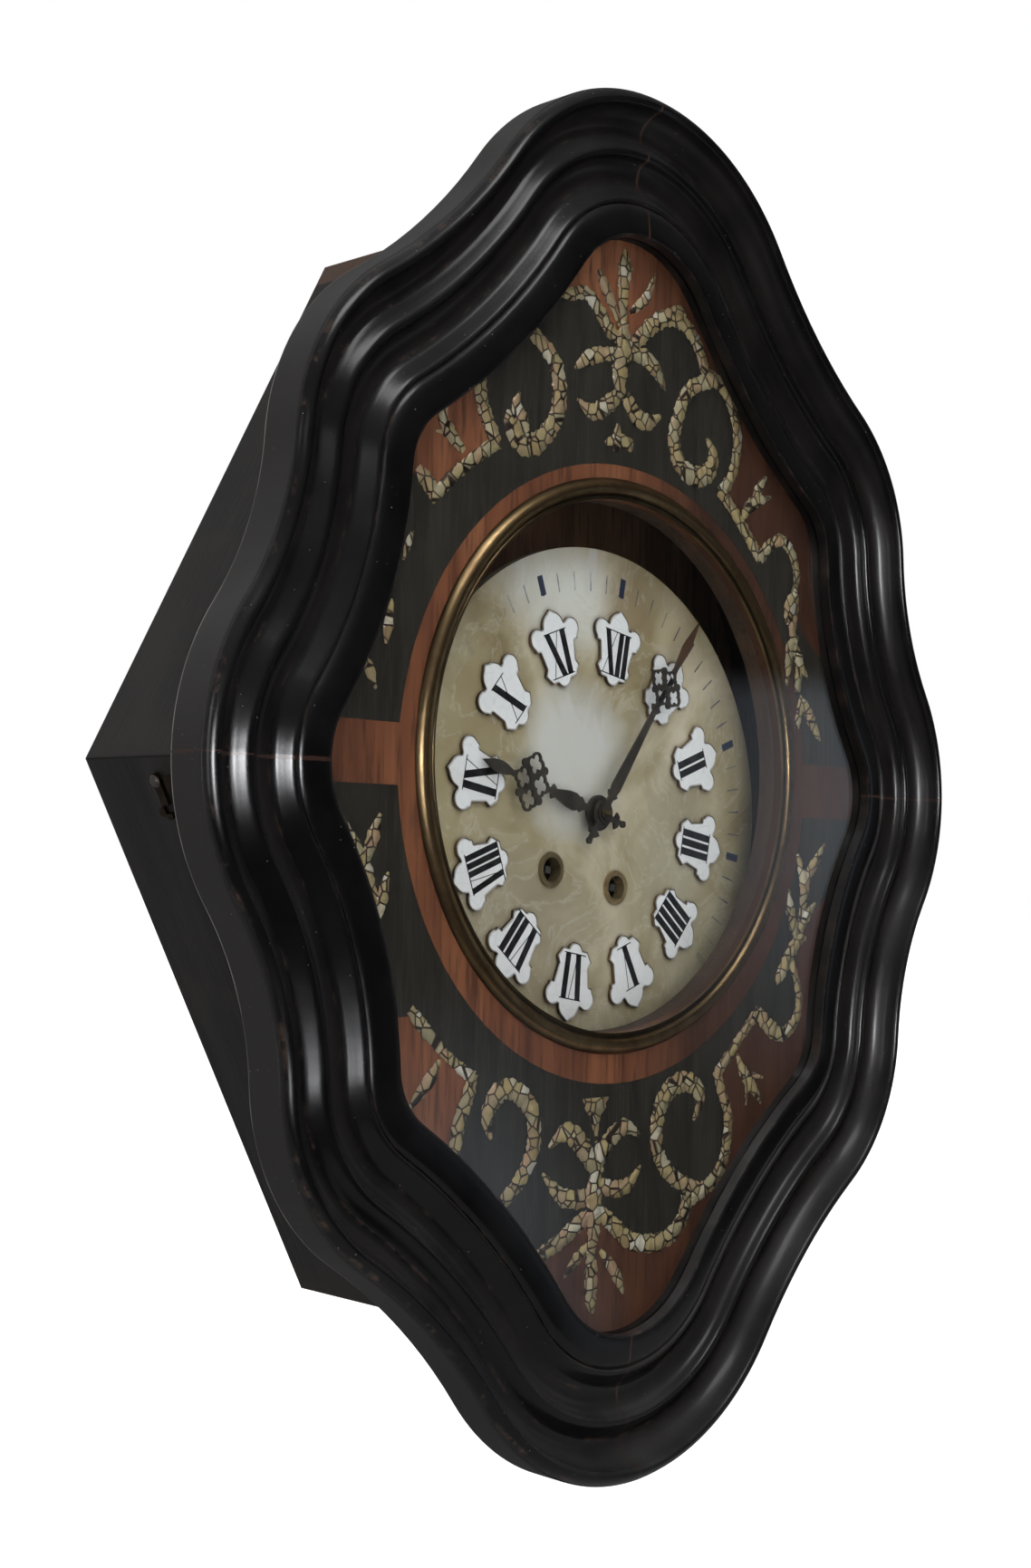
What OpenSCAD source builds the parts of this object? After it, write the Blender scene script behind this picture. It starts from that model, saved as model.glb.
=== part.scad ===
// Bulls-eye wall clock: a lobed, moulded and glazed frame on a shallow six-sided case, with an inlaid
// panel, a stone dial with enamel numeral plaques and a striking movement on rectangular plates.
// X runs to the right, Z up and Y towards the wall. The origin is on the wall, behind the frame's centre.
// Depths are measured backwards from the front edge of the moulded frame.

/* [Frame] */
// Height over the top and bottom lobes
frame_h = 640; // [600:1:700]
// Width over the left and right lobes
frame_w = 510; // [480:1:560]
// Thickness of the frame at its outer band
band_t = 23; // [21:0.5:28]
// Width of the moulding, from the outer band to the sight edge
moulding_w = 66; // [64:1:74]
// Radius of the top and bottom lobes
top_lobe_r = 122.5; // [115:0.5:130]
// Radius of the left and right lobes
side_lobe_r = 105.5; // [98:0.5:112]
// Radius of the four shoulders between the lobes
shoulder_r = 96; // [90:0.5:100]
// Distance of a shoulder's centre in from the left or right edge
shoulder_in = 137; // [133:0.5:141]
// Distance of a shoulder's centre from the top or bottom edge
shoulder_down = 197.5; // [193:0.5:202]
// Radius of the coves beside the top and bottom lobes
top_cove_r = 280; // [240:5:320]
// Radius of the coves beside the left and right lobes
side_cove_r = 140; // [120:5:180]

/* [Glass and panel] */
// Depth of the glass behind the front edge
glass_depth = 12.3; // [12:0.1:13]
// Thickness of the glass
glass_t = 2; // [1.5:0.1:2.5]
// Thickness of the fillet that keeps the panel off the glass
fillet_t = 4.1; // [3.8:0.1:5]
// Thickness of the inlaid panel
panel_t = 4.2; // [3:0.1:4.4]
// Width of the rabbet behind the sight edge
rabbet_w = 6.5; // [5:0.5:8]
// Radius of the round opening in the panel
opening_r = 124; // [116:1:128]
// Height of the opening's centre above the frame's centre
opening_rise = 7; // [0:0.5:8]
// Width of the brass bezel
bezel_w = 10; // [8:0.5:12]
// Height of the bezel's crown above the panel
bezel_h = 3.6; // [3:0.1:3.8]
// Wall of the wooden ring behind the opening
ring_wall = 9; // [7:0.5:11]
// Depth of the wooden ring behind the panel
ring_depth = 9.4; // [8:0.2:11]

/* [Case] */
// Width of the case over its left and right corners
case_w = 478.6; // [460:0.2:490]
// Height of the case over its top and bottom boards
case_h = 463.4; // [450:0.2:480]
// Length of the top and bottom boards
case_flat = 234.4; // [220:0.2:250]
// Depth of the whole clock, from the frame's front edge to the wall
full_depth = 102; // [98:1:120]
// Thickness of the case boards
board_t = 12; // [10:0.5:14]
// Thickness of the back board
back_t = 6; // [5:0.5:8]
// Gap between the closed frame and the case
door_gap = 0.4; // [0.3:0.1:1]

/* [Dial] */
// Radius of the stone dial
dial_r = 127; // [120:0.5:130]
// Thickness of the stone dial
dial_t = 5; // [4:0.5:6]
// Depth of the dial's face behind the front edge
dial_depth = 44.5; // [44:0.5:48]
// Distance that the dial's centre sits below the frame's centre
dial_drop = 14.7; // [0:0.1:16]
// Distance that the dial's centre sits to the right of the frame's centre
dial_shift = 8; // [0:0.5:10]
// Clockwise turn of the dial and movement in the case
dial_turn = 10; // [0:0.5:12]
// Radius of the circle through the plaques' middles
plaque_ring_r = 81.5; // [79:0.5:84]
// Length of a plaque along the dial's radius
plaque_h = 37.5; // [35:0.5:39]
// Thickness of a plaque
plaque_t = 1.6; // [1.2:0.1:2]
// Sideways distance of each winding hole from the dial's centre line
winding_x = 23.5; // [23:0.1:24]
// Distance of the winding holes below the dial's centre
winding_down = 32; // [30:0.5:33]
// Inner radius of a winding escutcheon
escutcheon_r = 5.8; // [5:0.1:6.4]

/* [Hands] */
// Length of the minute hand from its centre
minute_len = 121; // [112:1:122]
// Length of the hour hand from its centre
hour_len = 82; // [76:1:86]
// Thickness of the hands
hand_t = 1.2; // [0.8:0.1:1.4]
// Clockwise angle of the minute hand from upright
minute_angle = 36; // [0:1:359]
// Clockwise angle of the hour hand from upright
hour_angle = 285.5; // [0:0.5:359]

/* [Movement] */
// Width of the front plate
plate_w = 104; // [102:1:110]
// Width of the back plate over its fixing ears
ear_w = 132; // [128:1:136]
// Top edge of the plates above the dial's centre
plate_up = 57; // [56:0.5:60]
// Bottom edge of the plates below the dial's centre
plate_down = 59; // [58:0.5:62]
// Thickness of the plates
plate_t = 2; // [1.8:0.1:2.4]
// Depth of the front plate behind the frame's front edge
plate_depth = 58; // [58:0.5:60]
// Free space between the plates
plate_gap = 24; // [24:0.5:26]
// Radius of the barrels
barrel_r = 18.6; // [17:0.1:19]
// Length of the pendulum, from its bend to the middle of the bob
pendulum_len = 172; // [150:1:176]
// Radius of the pendulum bob
bob_r = 27; // [22:0.5:29]
// Radial play of an arbor in its plate
pivot_play = 0.05; // [0.03:0.01:0.08]

/* [Gong] */
// Outer radius of the gong coil
gong_r = 52; // [46:1:54]
// Step from one turn of the coil to the next
gong_pitch = 7; // [6:0.5:8]
// Radius of the gong wire
gong_wire_r = 1.4; // [1.2:0.1:1.6]
// Turns of the coil
gong_turns = 5; // [4:1:5]
// Distance of the coil's centre below the frame's centre
gong_drop = 145; // [143:1:148]

/* [Hidden] */
$fn = 64;
// A hair that cutting tools pass beyond the faces they cut
cut = 1;

// Draws a flat shape from the depth front to the depth back, as seen from the front of the clock.
module slab(front, back)
    translate([0, back - wall_depth, 0]) rotate([90, 0, 0]) linear_extrude(back - front) children();

// Seats what belongs to the dial and movement, whose own centre is the hands' centre.
module in_movement()
    translate([dial_shift, 0, -dial_drop]) rotate([0, dial_turn, 0]) children();

// The place in the clock's frame of a point given in the movement's frame.
function movement_point(p) = [
    dial_shift + p[0] * cos(dial_turn) + p[1] * sin(dial_turn),
    -dial_drop - p[0] * sin(dial_turn) + p[1] * cos(dial_turn)
];

// The centre of the circle that lies at a from one centre and at b from another, to the left of the way
// from the first to the second.
function circle_meet(c1, a, c2, b) =
    let(
        gap = c2 - c1,
        far = norm(gap),
        base = atan2(gap[1], gap[0]),
        turn = acos((a * a + far * far - b * b) / (2 * a * far))
    )
    c1 + a * [cos(base + turn), sin(base + turn)];
function heading(from, to) = atan2(to[1] - from[1], to[0] - from[0]);

// The outline: a quarter from the top lobe's middle to the right lobe's middle. Each station holds an
// arc's centre, its radius, 1 where it bulges and -1 where it is hollow, and the angle along it.
top_c = [0, frame_h / 2 - top_lobe_r];
shoulder_c = [frame_w / 2 - shoulder_in, frame_h / 2 - shoulder_down];
side_c = [frame_w / 2 - side_lobe_r, 0];
top_cove_c = circle_meet(top_c, top_lobe_r + top_cove_r, shoulder_c, shoulder_r + top_cove_r);
side_cove_c = circle_meet(shoulder_c, shoulder_r + side_cove_r, side_c, side_lobe_r + side_cove_r);
function arc_stations(c, r, bulge, from, to, steps, first) =
    [for (i = [first:steps]) [c, r, bulge, from + (to - from) * i / steps]];
stations = concat(
    arc_stations(top_c, top_lobe_r, 1, 90, heading(top_c, top_cove_c), 7, 0),
    arc_stations(top_cove_c, top_cove_r, -1, heading(top_c, top_cove_c) + 180,
        heading(shoulder_c, top_cove_c) + 180, 3, 1),
    arc_stations(shoulder_c, shoulder_r, 1, heading(shoulder_c, top_cove_c),
        heading(shoulder_c, side_cove_c), 6, 1),
    arc_stations(side_cove_c, side_cove_r, -1, heading(shoulder_c, side_cove_c) + 180,
        heading(side_c, side_cove_c) + 180, 4, 1),
    arc_stations(side_c, side_lobe_r, 1, heading(side_c, side_cove_c), 0, 5, 1)
);
// A station's point at the distance inset inside the outline
function inset_point(s, inset) = s[0] + (s[1] - s[2] * inset) * [cos(s[3]), sin(s[3])];
// The whole outline at the distance inset inside it
function outline(inset) =
    let(q = [for (s = stations) inset_point(s, inset)], n = len(q) - 1)
    concat(
        q,
        [for (i = [n - 1:-1:0]) [q[i][0], -q[i][1]]],
        [for (i = [1:n]) [-q[i][0], -q[i][1]]],
        [for (i = [n - 1:-1:1]) [-q[i][0], q[i][1]]]
    );

// Depths of the layers behind the front edge. The battens that carry the movement need their thickness
// behind it, so a deeper movement makes the case deeper.
batten_least = 10;
back_plate_depth = plate_depth + plate_t + plate_gap;
movement_back = back_plate_depth + plate_t;
wall_depth = max(full_depth, movement_back + batten_least + back_t);
back_face = wall_depth - back_t;
panel_front = glass_depth + glass_t + fillet_t;
panel_back = panel_front + panel_t;
case_front = band_t + door_gap;
rabbet_edge = moulding_w - rabbet_w;
// Play of the glass and panel in the rabbet
rabbet_play = 0.2;

// The moulding's section, as distances in from the outer edge and depths behind the front edge: an outer
// bead, a cove, two ribs with a hollow between them, a fine groove and the flat lip over the glass.
lip = moulding_w;
section = [
    [0, band_t], [0, 3.6], [3.6, 0], [6.2, 0.9], [7.4, 3.4], [8.6, 7.8], [16.5, 13], [20, 11.6],
    [22, 9.6], [28.6, 9], [29.8, 12.4], [34, 14.8], [43, 11.6], [45.6, 9], [50.4, 10.4],
    [51.6, 8.6], [lip - 1.4, 6.9], [lip, 8.4], [lip, glass_depth], [rabbet_edge, glass_depth],
    [rabbet_edge, band_t]
];
// One quarter of the moulded frame
module frame_quarter() {
    n = len(section);
    last = len(stations) - 1;
    points = [
        for (s = stations, p = section)
            let(q = inset_point(s, p[0])) [q[0], p[1] - wall_depth, q[1]]
    ];
    sides = [
        for (i = [0:last - 1], j = [0:n - 1])
            let(k = (j + 1) % n) [i * n + j, i * n + k, (i + 1) * n + k, (i + 1) * n + j]
    ];
    polyhedron(
        points,
        concat(sides, [[for (j = [n - 1:-1:0]) j]], [[for (j = [0:n - 1]) last * n + j]]),
        convexity = 10
    );
}
ebony = [0.09, 0.09, 0.1];
module frame_upper_right() color(ebony) frame_quarter();
module frame_lower_right() color(ebony) mirror([0, 0, 1]) frame_quarter();
module frame_upper_left() color(ebony) mirror([1, 0, 0]) frame_quarter();
module frame_lower_left() color(ebony) mirror([1, 0, 0]) mirror([0, 0, 1]) frame_quarter();

// Glass, fillet and inlaid panel, which lie one behind the other in the rabbet
module glass() color([0.8, 0.88, 0.9, 0.35])
    slab(glass_depth, glass_depth + glass_t) polygon(outline(rabbet_edge + rabbet_play));
module glass_fillet() color(ebony)
    slab(glass_depth + glass_t, panel_front) difference() {
        polygon(outline(rabbet_edge + rabbet_play));
        polygon(outline(moulding_w));
    }
module inlaid_panel() color([0.13, 0.09, 0.08])
    slab(panel_front, panel_back) difference() {
        polygon(outline(rabbet_edge + rabbet_play));
        translate([0, opening_rise]) circle(opening_r, $fn = 128);
    }
// The bezel is a half-round brass ring on the panel, round the opening.
module bezel() color([0.72, 0.56, 0.28])
    translate([0, panel_front - wall_depth, opening_rise]) rotate([90, 0, 0])
        rotate_extrude($fn = 128) polygon([
            [opening_r, 0], [opening_r, bezel_h * 0.45], [opening_r + bezel_w * 0.2, bezel_h * 0.5],
            [opening_r + bezel_w * 0.3, bezel_h * 0.85], [opening_r + bezel_w * 0.55, bezel_h],
            [opening_r + bezel_w * 0.82, bezel_h * 0.8], [opening_r + bezel_w, bezel_h * 0.2],
            [opening_r + bezel_w, 0]
        ]);
module opening_ring() color([0.42, 0.24, 0.12])
    translate([0, 0, opening_rise]) slab(panel_back, panel_back + ring_depth) difference() {
        circle(opening_r + ring_wall, $fn = 128);
        circle(opening_r, $fn = 128);
    }

// The case is a hexagon of six mitred boards. Its corners, outside and inside, are on the right half.
side_run = [(case_w - case_flat) / 2, case_h / 2];
side_out = [side_run[1], side_run[0]] / norm(side_run);
corner_out = [case_w / 2, 0];
corner_in = [case_w / 2 - board_t / side_out[0], 0];
top_out = [case_flat / 2, case_h / 2];
top_in_z = case_h / 2 - board_t;
top_in = [(side_out * corner_out - board_t - side_out[1] * top_in_z) / side_out[0], top_in_z];
satin_black = [0.16, 0.16, 0.17];
// Size of the hinge leaves, whose recess is cut into the right-hand boards
leaf_w = 38;
leaf_h = 26;
leaf_t = 1.4;
leaf_low = 8;
leaf_play = 0.3;
hinge_x = 244;
door_leaf_depth = band_t;
case_leaf_depth = door_leaf_depth + leaf_t + leaf_play;
knuckle_r = 2.6;
pin_r = 1.25;
hinge_depth = band_t + knuckle_r + 0.4;
module slanted_board()
    slab(case_front, wall_depth) polygon([corner_out, corner_in, top_in, top_out]);
module hinged_board() difference() {
    slanted_board();
    translate([hinge_x - leaf_w - leaf_play, 0, leaf_low - leaf_play])
        translate([0, case_front - cut - wall_depth, 0])
            cube([leaf_w + 20, case_leaf_depth + leaf_t - case_front + cut, leaf_h + 2 * leaf_play]);
    for (s = case_leaf_screws) translate([s[0], 0, s[1]])
        slab(case_front - cut, case_leaf_depth + leaf_t + wood_screw_len) circle(pilot_r);
}
module case_upper_right_board() color(satin_black) hinged_board();
module case_lower_right_board() color(satin_black) mirror([0, 0, 1]) hinged_board();
module case_upper_left_board() color(satin_black) mirror([1, 0, 0]) slanted_board();
module case_lower_left_board() color(satin_black) difference() {
    mirror([1, 0, 0]) mirror([0, 0, 1]) slanted_board();
    on_latch_face() translate([0, 0, -latch_screw_len]) cylinder(h = latch_screw_len + cut, r = pilot_r);
}
// The hanging plate's neck lies in a notch in the top board.
plate_neck_w = 22;
hanger_t = 2;
module flat_board() slab(case_front, wall_depth)
    polygon([top_out, top_in, [-top_in[0], top_in[1]], [-top_out[0], top_out[1]]]);
module case_top_board() color(satin_black) difference() {
    flat_board();
    translate([-plate_neck_w / 2 - rabbet_play, -hanger_t, top_in_z - cut])
        cube([plate_neck_w + 2 * rabbet_play, hanger_t + cut, board_t + 2 * cut]);
}
module case_bottom_board() color(satin_black) mirror([0, 0, 1]) flat_board();
// The back board fills the hexagon behind, and the hanging plate is let into it flush with the wall.
plate_body_w = 60;
plate_body_h = 34;
eye_r = 4.5;
eye_up = 9;
wood_screw_len = 9;
wood_screw_r = 1.5;
wood_head_r = 2.8;
pilot_r = wood_screw_r + 0.02;
hanger_screws = [[-22, top_in_z - 24], [22, top_in_z - 24], [0, top_in_z - 12]];
module back_board() color([0.3, 0.2, 0.13]) difference() {
    slab(back_face, wall_depth) polygon(concat(
        [corner_in, top_in, [-top_in[0], top_in[1]]],
        [[-corner_in[0], 0], [-top_in[0], -top_in[1]], [top_in[0], -top_in[1]]]
    ));
    translate([-plate_body_w / 2 - rabbet_play, -hanger_t, top_in_z - plate_body_h - rabbet_play])
        cube([plate_body_w + 2 * rabbet_play, hanger_t + cut, plate_body_h + rabbet_play + cut]);
    for (s = hanger_screws) translate([s[0], 0, s[1]]) slab(back_face - cut, wall_depth) circle(pilot_r);
}
module hanging_plate() color([0.45, 0.4, 0.33]) difference() {
    slab(wall_depth - hanger_t, wall_depth) {
        translate([-plate_body_w / 2, top_in_z - plate_body_h]) square([plate_body_w, plate_body_h]);
        translate([-plate_neck_w / 2, top_in_z - cut]) square([plate_neck_w, board_t + eye_up + cut]);
        translate([0, top_in_z + board_t + eye_up]) circle(plate_neck_w / 2);
    }
    translate([0, 0, top_in_z + board_t + eye_up])
        slab(wall_depth - hanger_t - cut, wall_depth + cut) circle(eye_r);
    for (s = hanger_screws) drive(s, wall_depth, -1) screw_cut(hanger_t);
}

// A countersunk wood screw with its head's face at the origin, driven along Z, and the hole for its head
module screw_body(length) {
    cylinder(h = wood_head_r - wood_screw_r, r1 = wood_head_r, r2 = wood_screw_r);
    translate([0, 0, wood_head_r - wood_screw_r])
        cylinder(h = length - wood_head_r + wood_screw_r, r = wood_screw_r);
}
module screw_cut(through) {
    cylinder(h = wood_head_r - wood_screw_r, r1 = wood_head_r + 0.02, r2 = pilot_r);
    translate([0, 0, -cut]) cylinder(h = cut, r = wood_head_r + 0.02);
    cylinder(h = through + cut, r = pilot_r);
}
// Places a screw at p with its head's face at the depth face, driven towards the wall if way is 1 and
// towards the front if it is -1.
module drive(p, face, way)
    translate([p[0], face - wall_depth, p[1]]) rotate([way * -90, 0, 0]) children();

// Hinges at the right-hand corner: a leaf on the frame, a leaf let into the case and a pin
leaf_slope = side_run[0] / side_run[1];
function board_middle_x(z) = case_w / 2 - board_t / side_out[0] / 2 - leaf_slope * z;
case_leaf_screws = [for (z = [leaf_low + 6, leaf_low + 20]) [board_middle_x(z), z]];
door_leaf_screws = [for (z = [leaf_low + 5, leaf_low + 19]) [board_middle_x(z) + 12, z]];
knuckle_gap = 0.3;
knuckle_end = 7.2;
module knuckle(low, high) translate([hinge_x, hinge_depth - wall_depth, low]) difference() {
    cylinder(h = high - low, r = knuckle_r);
    translate([0, 0, -cut]) cylinder(h = high - low + 2 * cut, r = pin_r + pivot_play);
}
module leaf(depth, low, high) difference() {
    translate([hinge_x - leaf_w, depth - wall_depth, low]) cube([leaf_w, leaf_t, high - low]);
    translate([hinge_x, hinge_depth - wall_depth, low - cut])
        cylinder(h = high - low + 2 * cut, r = pin_r + pivot_play);
}
leaf_top = leaf_low + leaf_h;
module both_hinges() {
    children();
    mirror([0, 0, 1]) children();
}
module hinge_door_leaves() color([0.6, 0.48, 0.26]) both_hinges() difference() {
    union() {
        leaf(door_leaf_depth, leaf_low, leaf_top);
        knuckle(leaf_low, leaf_low + knuckle_end);
        knuckle(leaf_top - knuckle_end, leaf_top);
    }
    translate([hinge_x - knuckle_r - 0.3, band_t - cut - wall_depth, leaf_low + knuckle_end])
        cube([2 * knuckle_r + 0.6, 2 * knuckle_r + 2 * cut, leaf_h - 2 * knuckle_end]);
    for (s = door_leaf_screws) drive(s, door_leaf_depth + leaf_t, -1) screw_cut(leaf_t);
}
module hinge_case_leaves() color([0.6, 0.48, 0.26]) both_hinges() difference() {
    union() {
        leaf(case_leaf_depth, leaf_low, leaf_top);
        knuckle(leaf_low + knuckle_end + knuckle_gap, leaf_top - knuckle_end - knuckle_gap);
    }
    for (low = [leaf_low - cut, leaf_top - knuckle_end - knuckle_gap])
        translate([hinge_x - knuckle_r - 0.3, band_t - cut - wall_depth, low])
            cube([2 * knuckle_r + 0.6, 2 * knuckle_r + 2 * cut, knuckle_end + knuckle_gap + cut]);
    for (s = case_leaf_screws) drive(s, case_leaf_depth, 1) screw_cut(leaf_t);
}
module hinge_pins() color([0.5, 0.5, 0.5]) both_hinges()
    translate([hinge_x, hinge_depth - wall_depth, leaf_low - 1.5]) {
        cylinder(h = leaf_h + 3, r = pin_r);
        translate([0, 0, -1]) cylinder(h = 1.2, r = knuckle_r);
    }
module hinge_door_screws() color([0.55, 0.5, 0.4]) {
    both_hinges() for (s = door_leaf_screws)
        drive(s, door_leaf_depth + leaf_t, -1) screw_body(wood_screw_len);
    on_latch_face() at_catch_screw() screw_body(wood_screw_len);
}
module case_screws() color([0.55, 0.5, 0.4]) {
    both_hinges() for (s = case_leaf_screws) drive(s, case_leaf_depth, 1) screw_body(wood_screw_len);
    for (s = hanger_screws) drive(s, wall_depth, -1) screw_body(back_t);
    on_latch_face() {
        translate([0, 0, -latch_screw_len])
            cylinder(h = latch_screw_len + hook_t + 0.7, r = wood_screw_r);
        translate([0, 0, hook_t + 0.6]) cylinder(h = 1, r1 = wood_head_r, r2 = wood_head_r - 0.8);
    }
}

// Latch on the lower left board: a hook that hangs loose on its screw, and a pin on a bracket on the back
// of the frame, which the hook takes when it is swung up to point forwards.
latch_down = 10;
latch_depth = 58;
latch_reach = 13;
latch_screw_len = 9;
hook_t = 1.5;
hook_w = 4.6;
catch_pin_r = 1.3;
catch_lift = 3;
catch_t = 2.4;
catch_foot = 12;
catch_front = band_t - latch_depth;
// Puts the origin on the board's outer face at the hook's screw: X up along the board, Z out of it.
module on_latch_face()
    translate([-corner_out[0] + latch_down * side_run[0] / norm(side_run), latch_depth - wall_depth,
        -latch_down * side_run[1] / norm(side_run)])
        rotate([0, -90 - atan2(side_run[0], side_run[1]), 0]) children();
module latch_hook() color([0.62, 0.5, 0.27]) on_latch_face() rotate(-90) translate([0, 0, 0.3])
    linear_extrude(hook_t) difference() {
        union() {
            circle(hook_w / 2 + 0.6);
            translate([-hook_w / 2, -latch_reach - 2]) square([hook_w, latch_reach + 2]);
            translate([0, -latch_reach - 2]) circle(hook_w / 2);
            translate([-hook_w / 2 - 1.4, -latch_reach - 1]) circle(2);
        }
        circle(wood_screw_r + pivot_play);
        translate([-catch_pin_r - 0.35, -latch_reach - catch_pin_r - 0.35])
            square([hook_w, 2 * catch_pin_r + 1.2]);
    }
module latch_catch() color([0.62, 0.5, 0.27]) on_latch_face() difference() {
    union() {
        translate([-3, catch_front, catch_lift]) cube([6, -latch_reach + 2.6 - catch_front, catch_t]);
        translate([-3, catch_front, catch_lift]) cube([6, 1.6, catch_foot - catch_lift]);
        translate([0, -latch_reach, 0.5]) cylinder(h = catch_lift, r = catch_pin_r);
    }
    at_catch_screw() screw_cut(1.6);
}
module at_catch_screw() translate([0, catch_front + 1.6, catch_foot - 3.2]) rotate([90, 0, 0]) children();

// Battens on the back board that carry the movement by the ears of its back plate
batten_w = 28;
batten_x = ear_w / 2 - 8;
batten_low = -80;
batten_high = 50;
ear_hole_up = 36;
ear_holes = [for (u = [-batten_x, batten_x], w = [-ear_hole_up, ear_hole_up]) [u, w]];
seat_screw_r = 1.6;
module seat_batten(side) color([0.45, 0.32, 0.2]) difference() {
    translate([dial_shift + side * batten_x - batten_w / 2, movement_back - wall_depth, batten_low])
        cube([batten_w, back_face - movement_back, batten_high - batten_low]);
    in_movement() for (p = ear_holes) translate([p[0], 0, p[1]])
        slab(movement_back - cut, movement_back + 8) circle(seat_screw_r + 0.02);
}
module left_seat_batten() seat_batten(-1);
module right_seat_batten() seat_batten(1);
module movement_screws() color([0.5, 0.52, 0.55]) in_movement() for (p = ear_holes)
    translate([p[0], 0, p[1]]) {
        slab(back_plate_depth - 1.8, back_plate_depth) circle(3.2);
        slab(back_plate_depth, movement_back + 8) circle(seat_screw_r);
    }

// Dial: a stone disc on a brass plate that stands on the movement on four feet
dial_back = dial_depth + dial_t;
dial_plate_t = 1.2;
dial_plate_back = dial_back + dial_plate_t;
winding_points = [[-winding_x, -winding_down], [winding_x, -winding_down]];
dial_feet = [[-46, 30], [46, 30], [-28, -55], [28, -55]];
foot_r = 2;
foot_tenon_r = 1.2;
hour_pipe_r = 3.2;
module dial() color([0.8, 0.75, 0.63]) in_movement() slab(dial_depth, dial_back) difference() {
    circle(dial_r, $fn = 128);
    circle(hour_pipe_r + 1.8);
    for (p = winding_points) translate(p) circle(escutcheon_r + 0.9);
}
module dial_plate() color([0.75, 0.6, 0.32]) in_movement() {
    slab(dial_back, dial_plate_back) difference() {
        circle(dial_r - 40, $fn = 96);
        circle(hour_pipe_r + 1.8);
        for (p = winding_points) translate(p) circle(escutcheon_r + 1.4);
    }
    for (p = dial_feet) translate([p[0], 0, p[1]]) {
        slab(dial_plate_back, plate_depth) circle(foot_r);
        slab(plate_depth, plate_depth + plate_t + 1.5) circle(foot_tenon_r);
    }
}
// A plaque has a crown of three lobes outwards, the middle one pointed, a waist with a step above
// it, an ear on each side of its base and a round lobe inwards.
module plaque() {
    half = plaque_h / 2;
    polygon([
        [-8.3, 3.2 - half], [8.3, 3.2 - half], [12, 7.8 - half], [10.2, 10.8 - half], [12.2, half - 17.8],
        [14.6, half - 17.8], [16.6, half - 10.6], [9, half - 8], [-9, half - 8], [-16.6, half - 10.6],
        [-14.6, half - 17.8], [-12.2, half - 17.8], [-10.2, 10.8 - half], [-12, 7.8 - half]
    ]);
    for (side = [-1, 1]) translate([side * 11.9, half - 12]) circle(5.2, $fn = 48);
    translate([0, half - 8.6]) circle(7.3, $fn = 48);
    polygon([[-4, half - 2.7], [4, half - 2.7], [0, half]]);
    translate([0, 4.8 - half]) circle(4.8, $fn = 48);
}
module hour_plaques() color([0.93, 0.93, 0.92]) in_movement() slab(dial_depth - plaque_t, dial_depth)
    for (h = [0:11]) rotate(-30 * h) translate([0, plaque_ring_r]) plaque();
module winding_escutcheons() color([0.72, 0.56, 0.28]) in_movement()
    for (p = winding_points) translate([p[0], 0, p[1]]) {
        slab(dial_depth - 1, dial_depth) difference() {
            circle(escutcheon_r + 2.4);
            circle(escutcheon_r);
        }
        slab(dial_depth, dial_back) difference() {
            circle(escutcheon_r + 0.85);
            circle(escutcheon_r);
        }
    }

// Teeth: a wheel or pinion whose tooth, or gap if gap is 1, points along the angle aim.
function tooth_outline(teeth, root_r, tip_r, root_share, tip_share, aim, gap) = [
    for (i = [0:teeth - 1], c = [[root_r, -root_share], [tip_r, -tip_share], [tip_r, tip_share],
        [root_r, root_share]])
        let(a = aim + (i + gap / 2 + c[1]) * 360 / teeth) c[0] * [cos(a), sin(a)]
];
module wheel_teeth(teeth, size, aim)
    polygon(tooth_outline(teeth, (teeth / 2 - 1.45) * size, (teeth / 2 + 0.8) * size, 0.23, 0.09, aim, 0));
module pinion_teeth(teeth, size, aim)
    polygon(tooth_outline(teeth, (teeth / 2 - 1.35) * size, (teeth / 2 + 0.75) * size, 0.2, 0.1, aim, 1));
// A crossed-out wheel: a toothed rim on spokes round a hub
module crossed_wheel(teeth, size, aim, spokes, hub_r, rim) difference() {
    wheel_teeth(teeth, size, aim);
    inner = (teeth / 2 - 1.45) * size - rim;
    for (i = [0:spokes - 1]) {
        a = 360 / spokes;
        s = 1.1;
        rotate(i * a) polygon([
            (hub_r + s) * [cos(a * 0.24), sin(a * 0.24)], inner * [cos(a * 0.09), sin(a * 0.09)],
            inner * [cos(a * 0.3), sin(a * 0.3)], inner * [cos(a * 0.5), sin(a * 0.5)],
            inner * [cos(a * 0.7), sin(a * 0.7)], inner * [cos(a * 0.91), sin(a * 0.91)],
            (hub_r + s) * [cos(a * 0.76), sin(a * 0.76)]
        ]);
    }
}

// Sizes of the wheel work: teeth, and tooth size as pitch diameter over teeth
great_teeth = 60;
great_size = 0.7;
train_size = 0.5;
third_teeth = 72;
third_size = 0.38;
pinion_8 = 8;
pinion_6 = 6;
mesh_play = 0.12;
function pitch_gap(teeth, leaves, size) = (teeth + leaves) * size / 2 + mesh_play;
going_p = winding_points[1];
strike_p = winding_points[0];
centre_p = [0, 0];
intermediate_p = circle_meet(going_p, pitch_gap(great_teeth, pinion_8, great_size), centre_p,
    pitch_gap(60, pinion_8, train_size));
escape_up = 29;
escape_p = [0, escape_up];
third_p = circle_meet(escape_p, pitch_gap(third_teeth, pinion_6, third_size), centre_p,
    pitch_gap(60, pinion_6, train_size));
second_aim = 105;
strike_second_p = strike_p
    + pitch_gap(great_teeth, pinion_8, great_size) * [cos(second_aim), sin(second_aim)];
strike_third_aim = 72;
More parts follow.
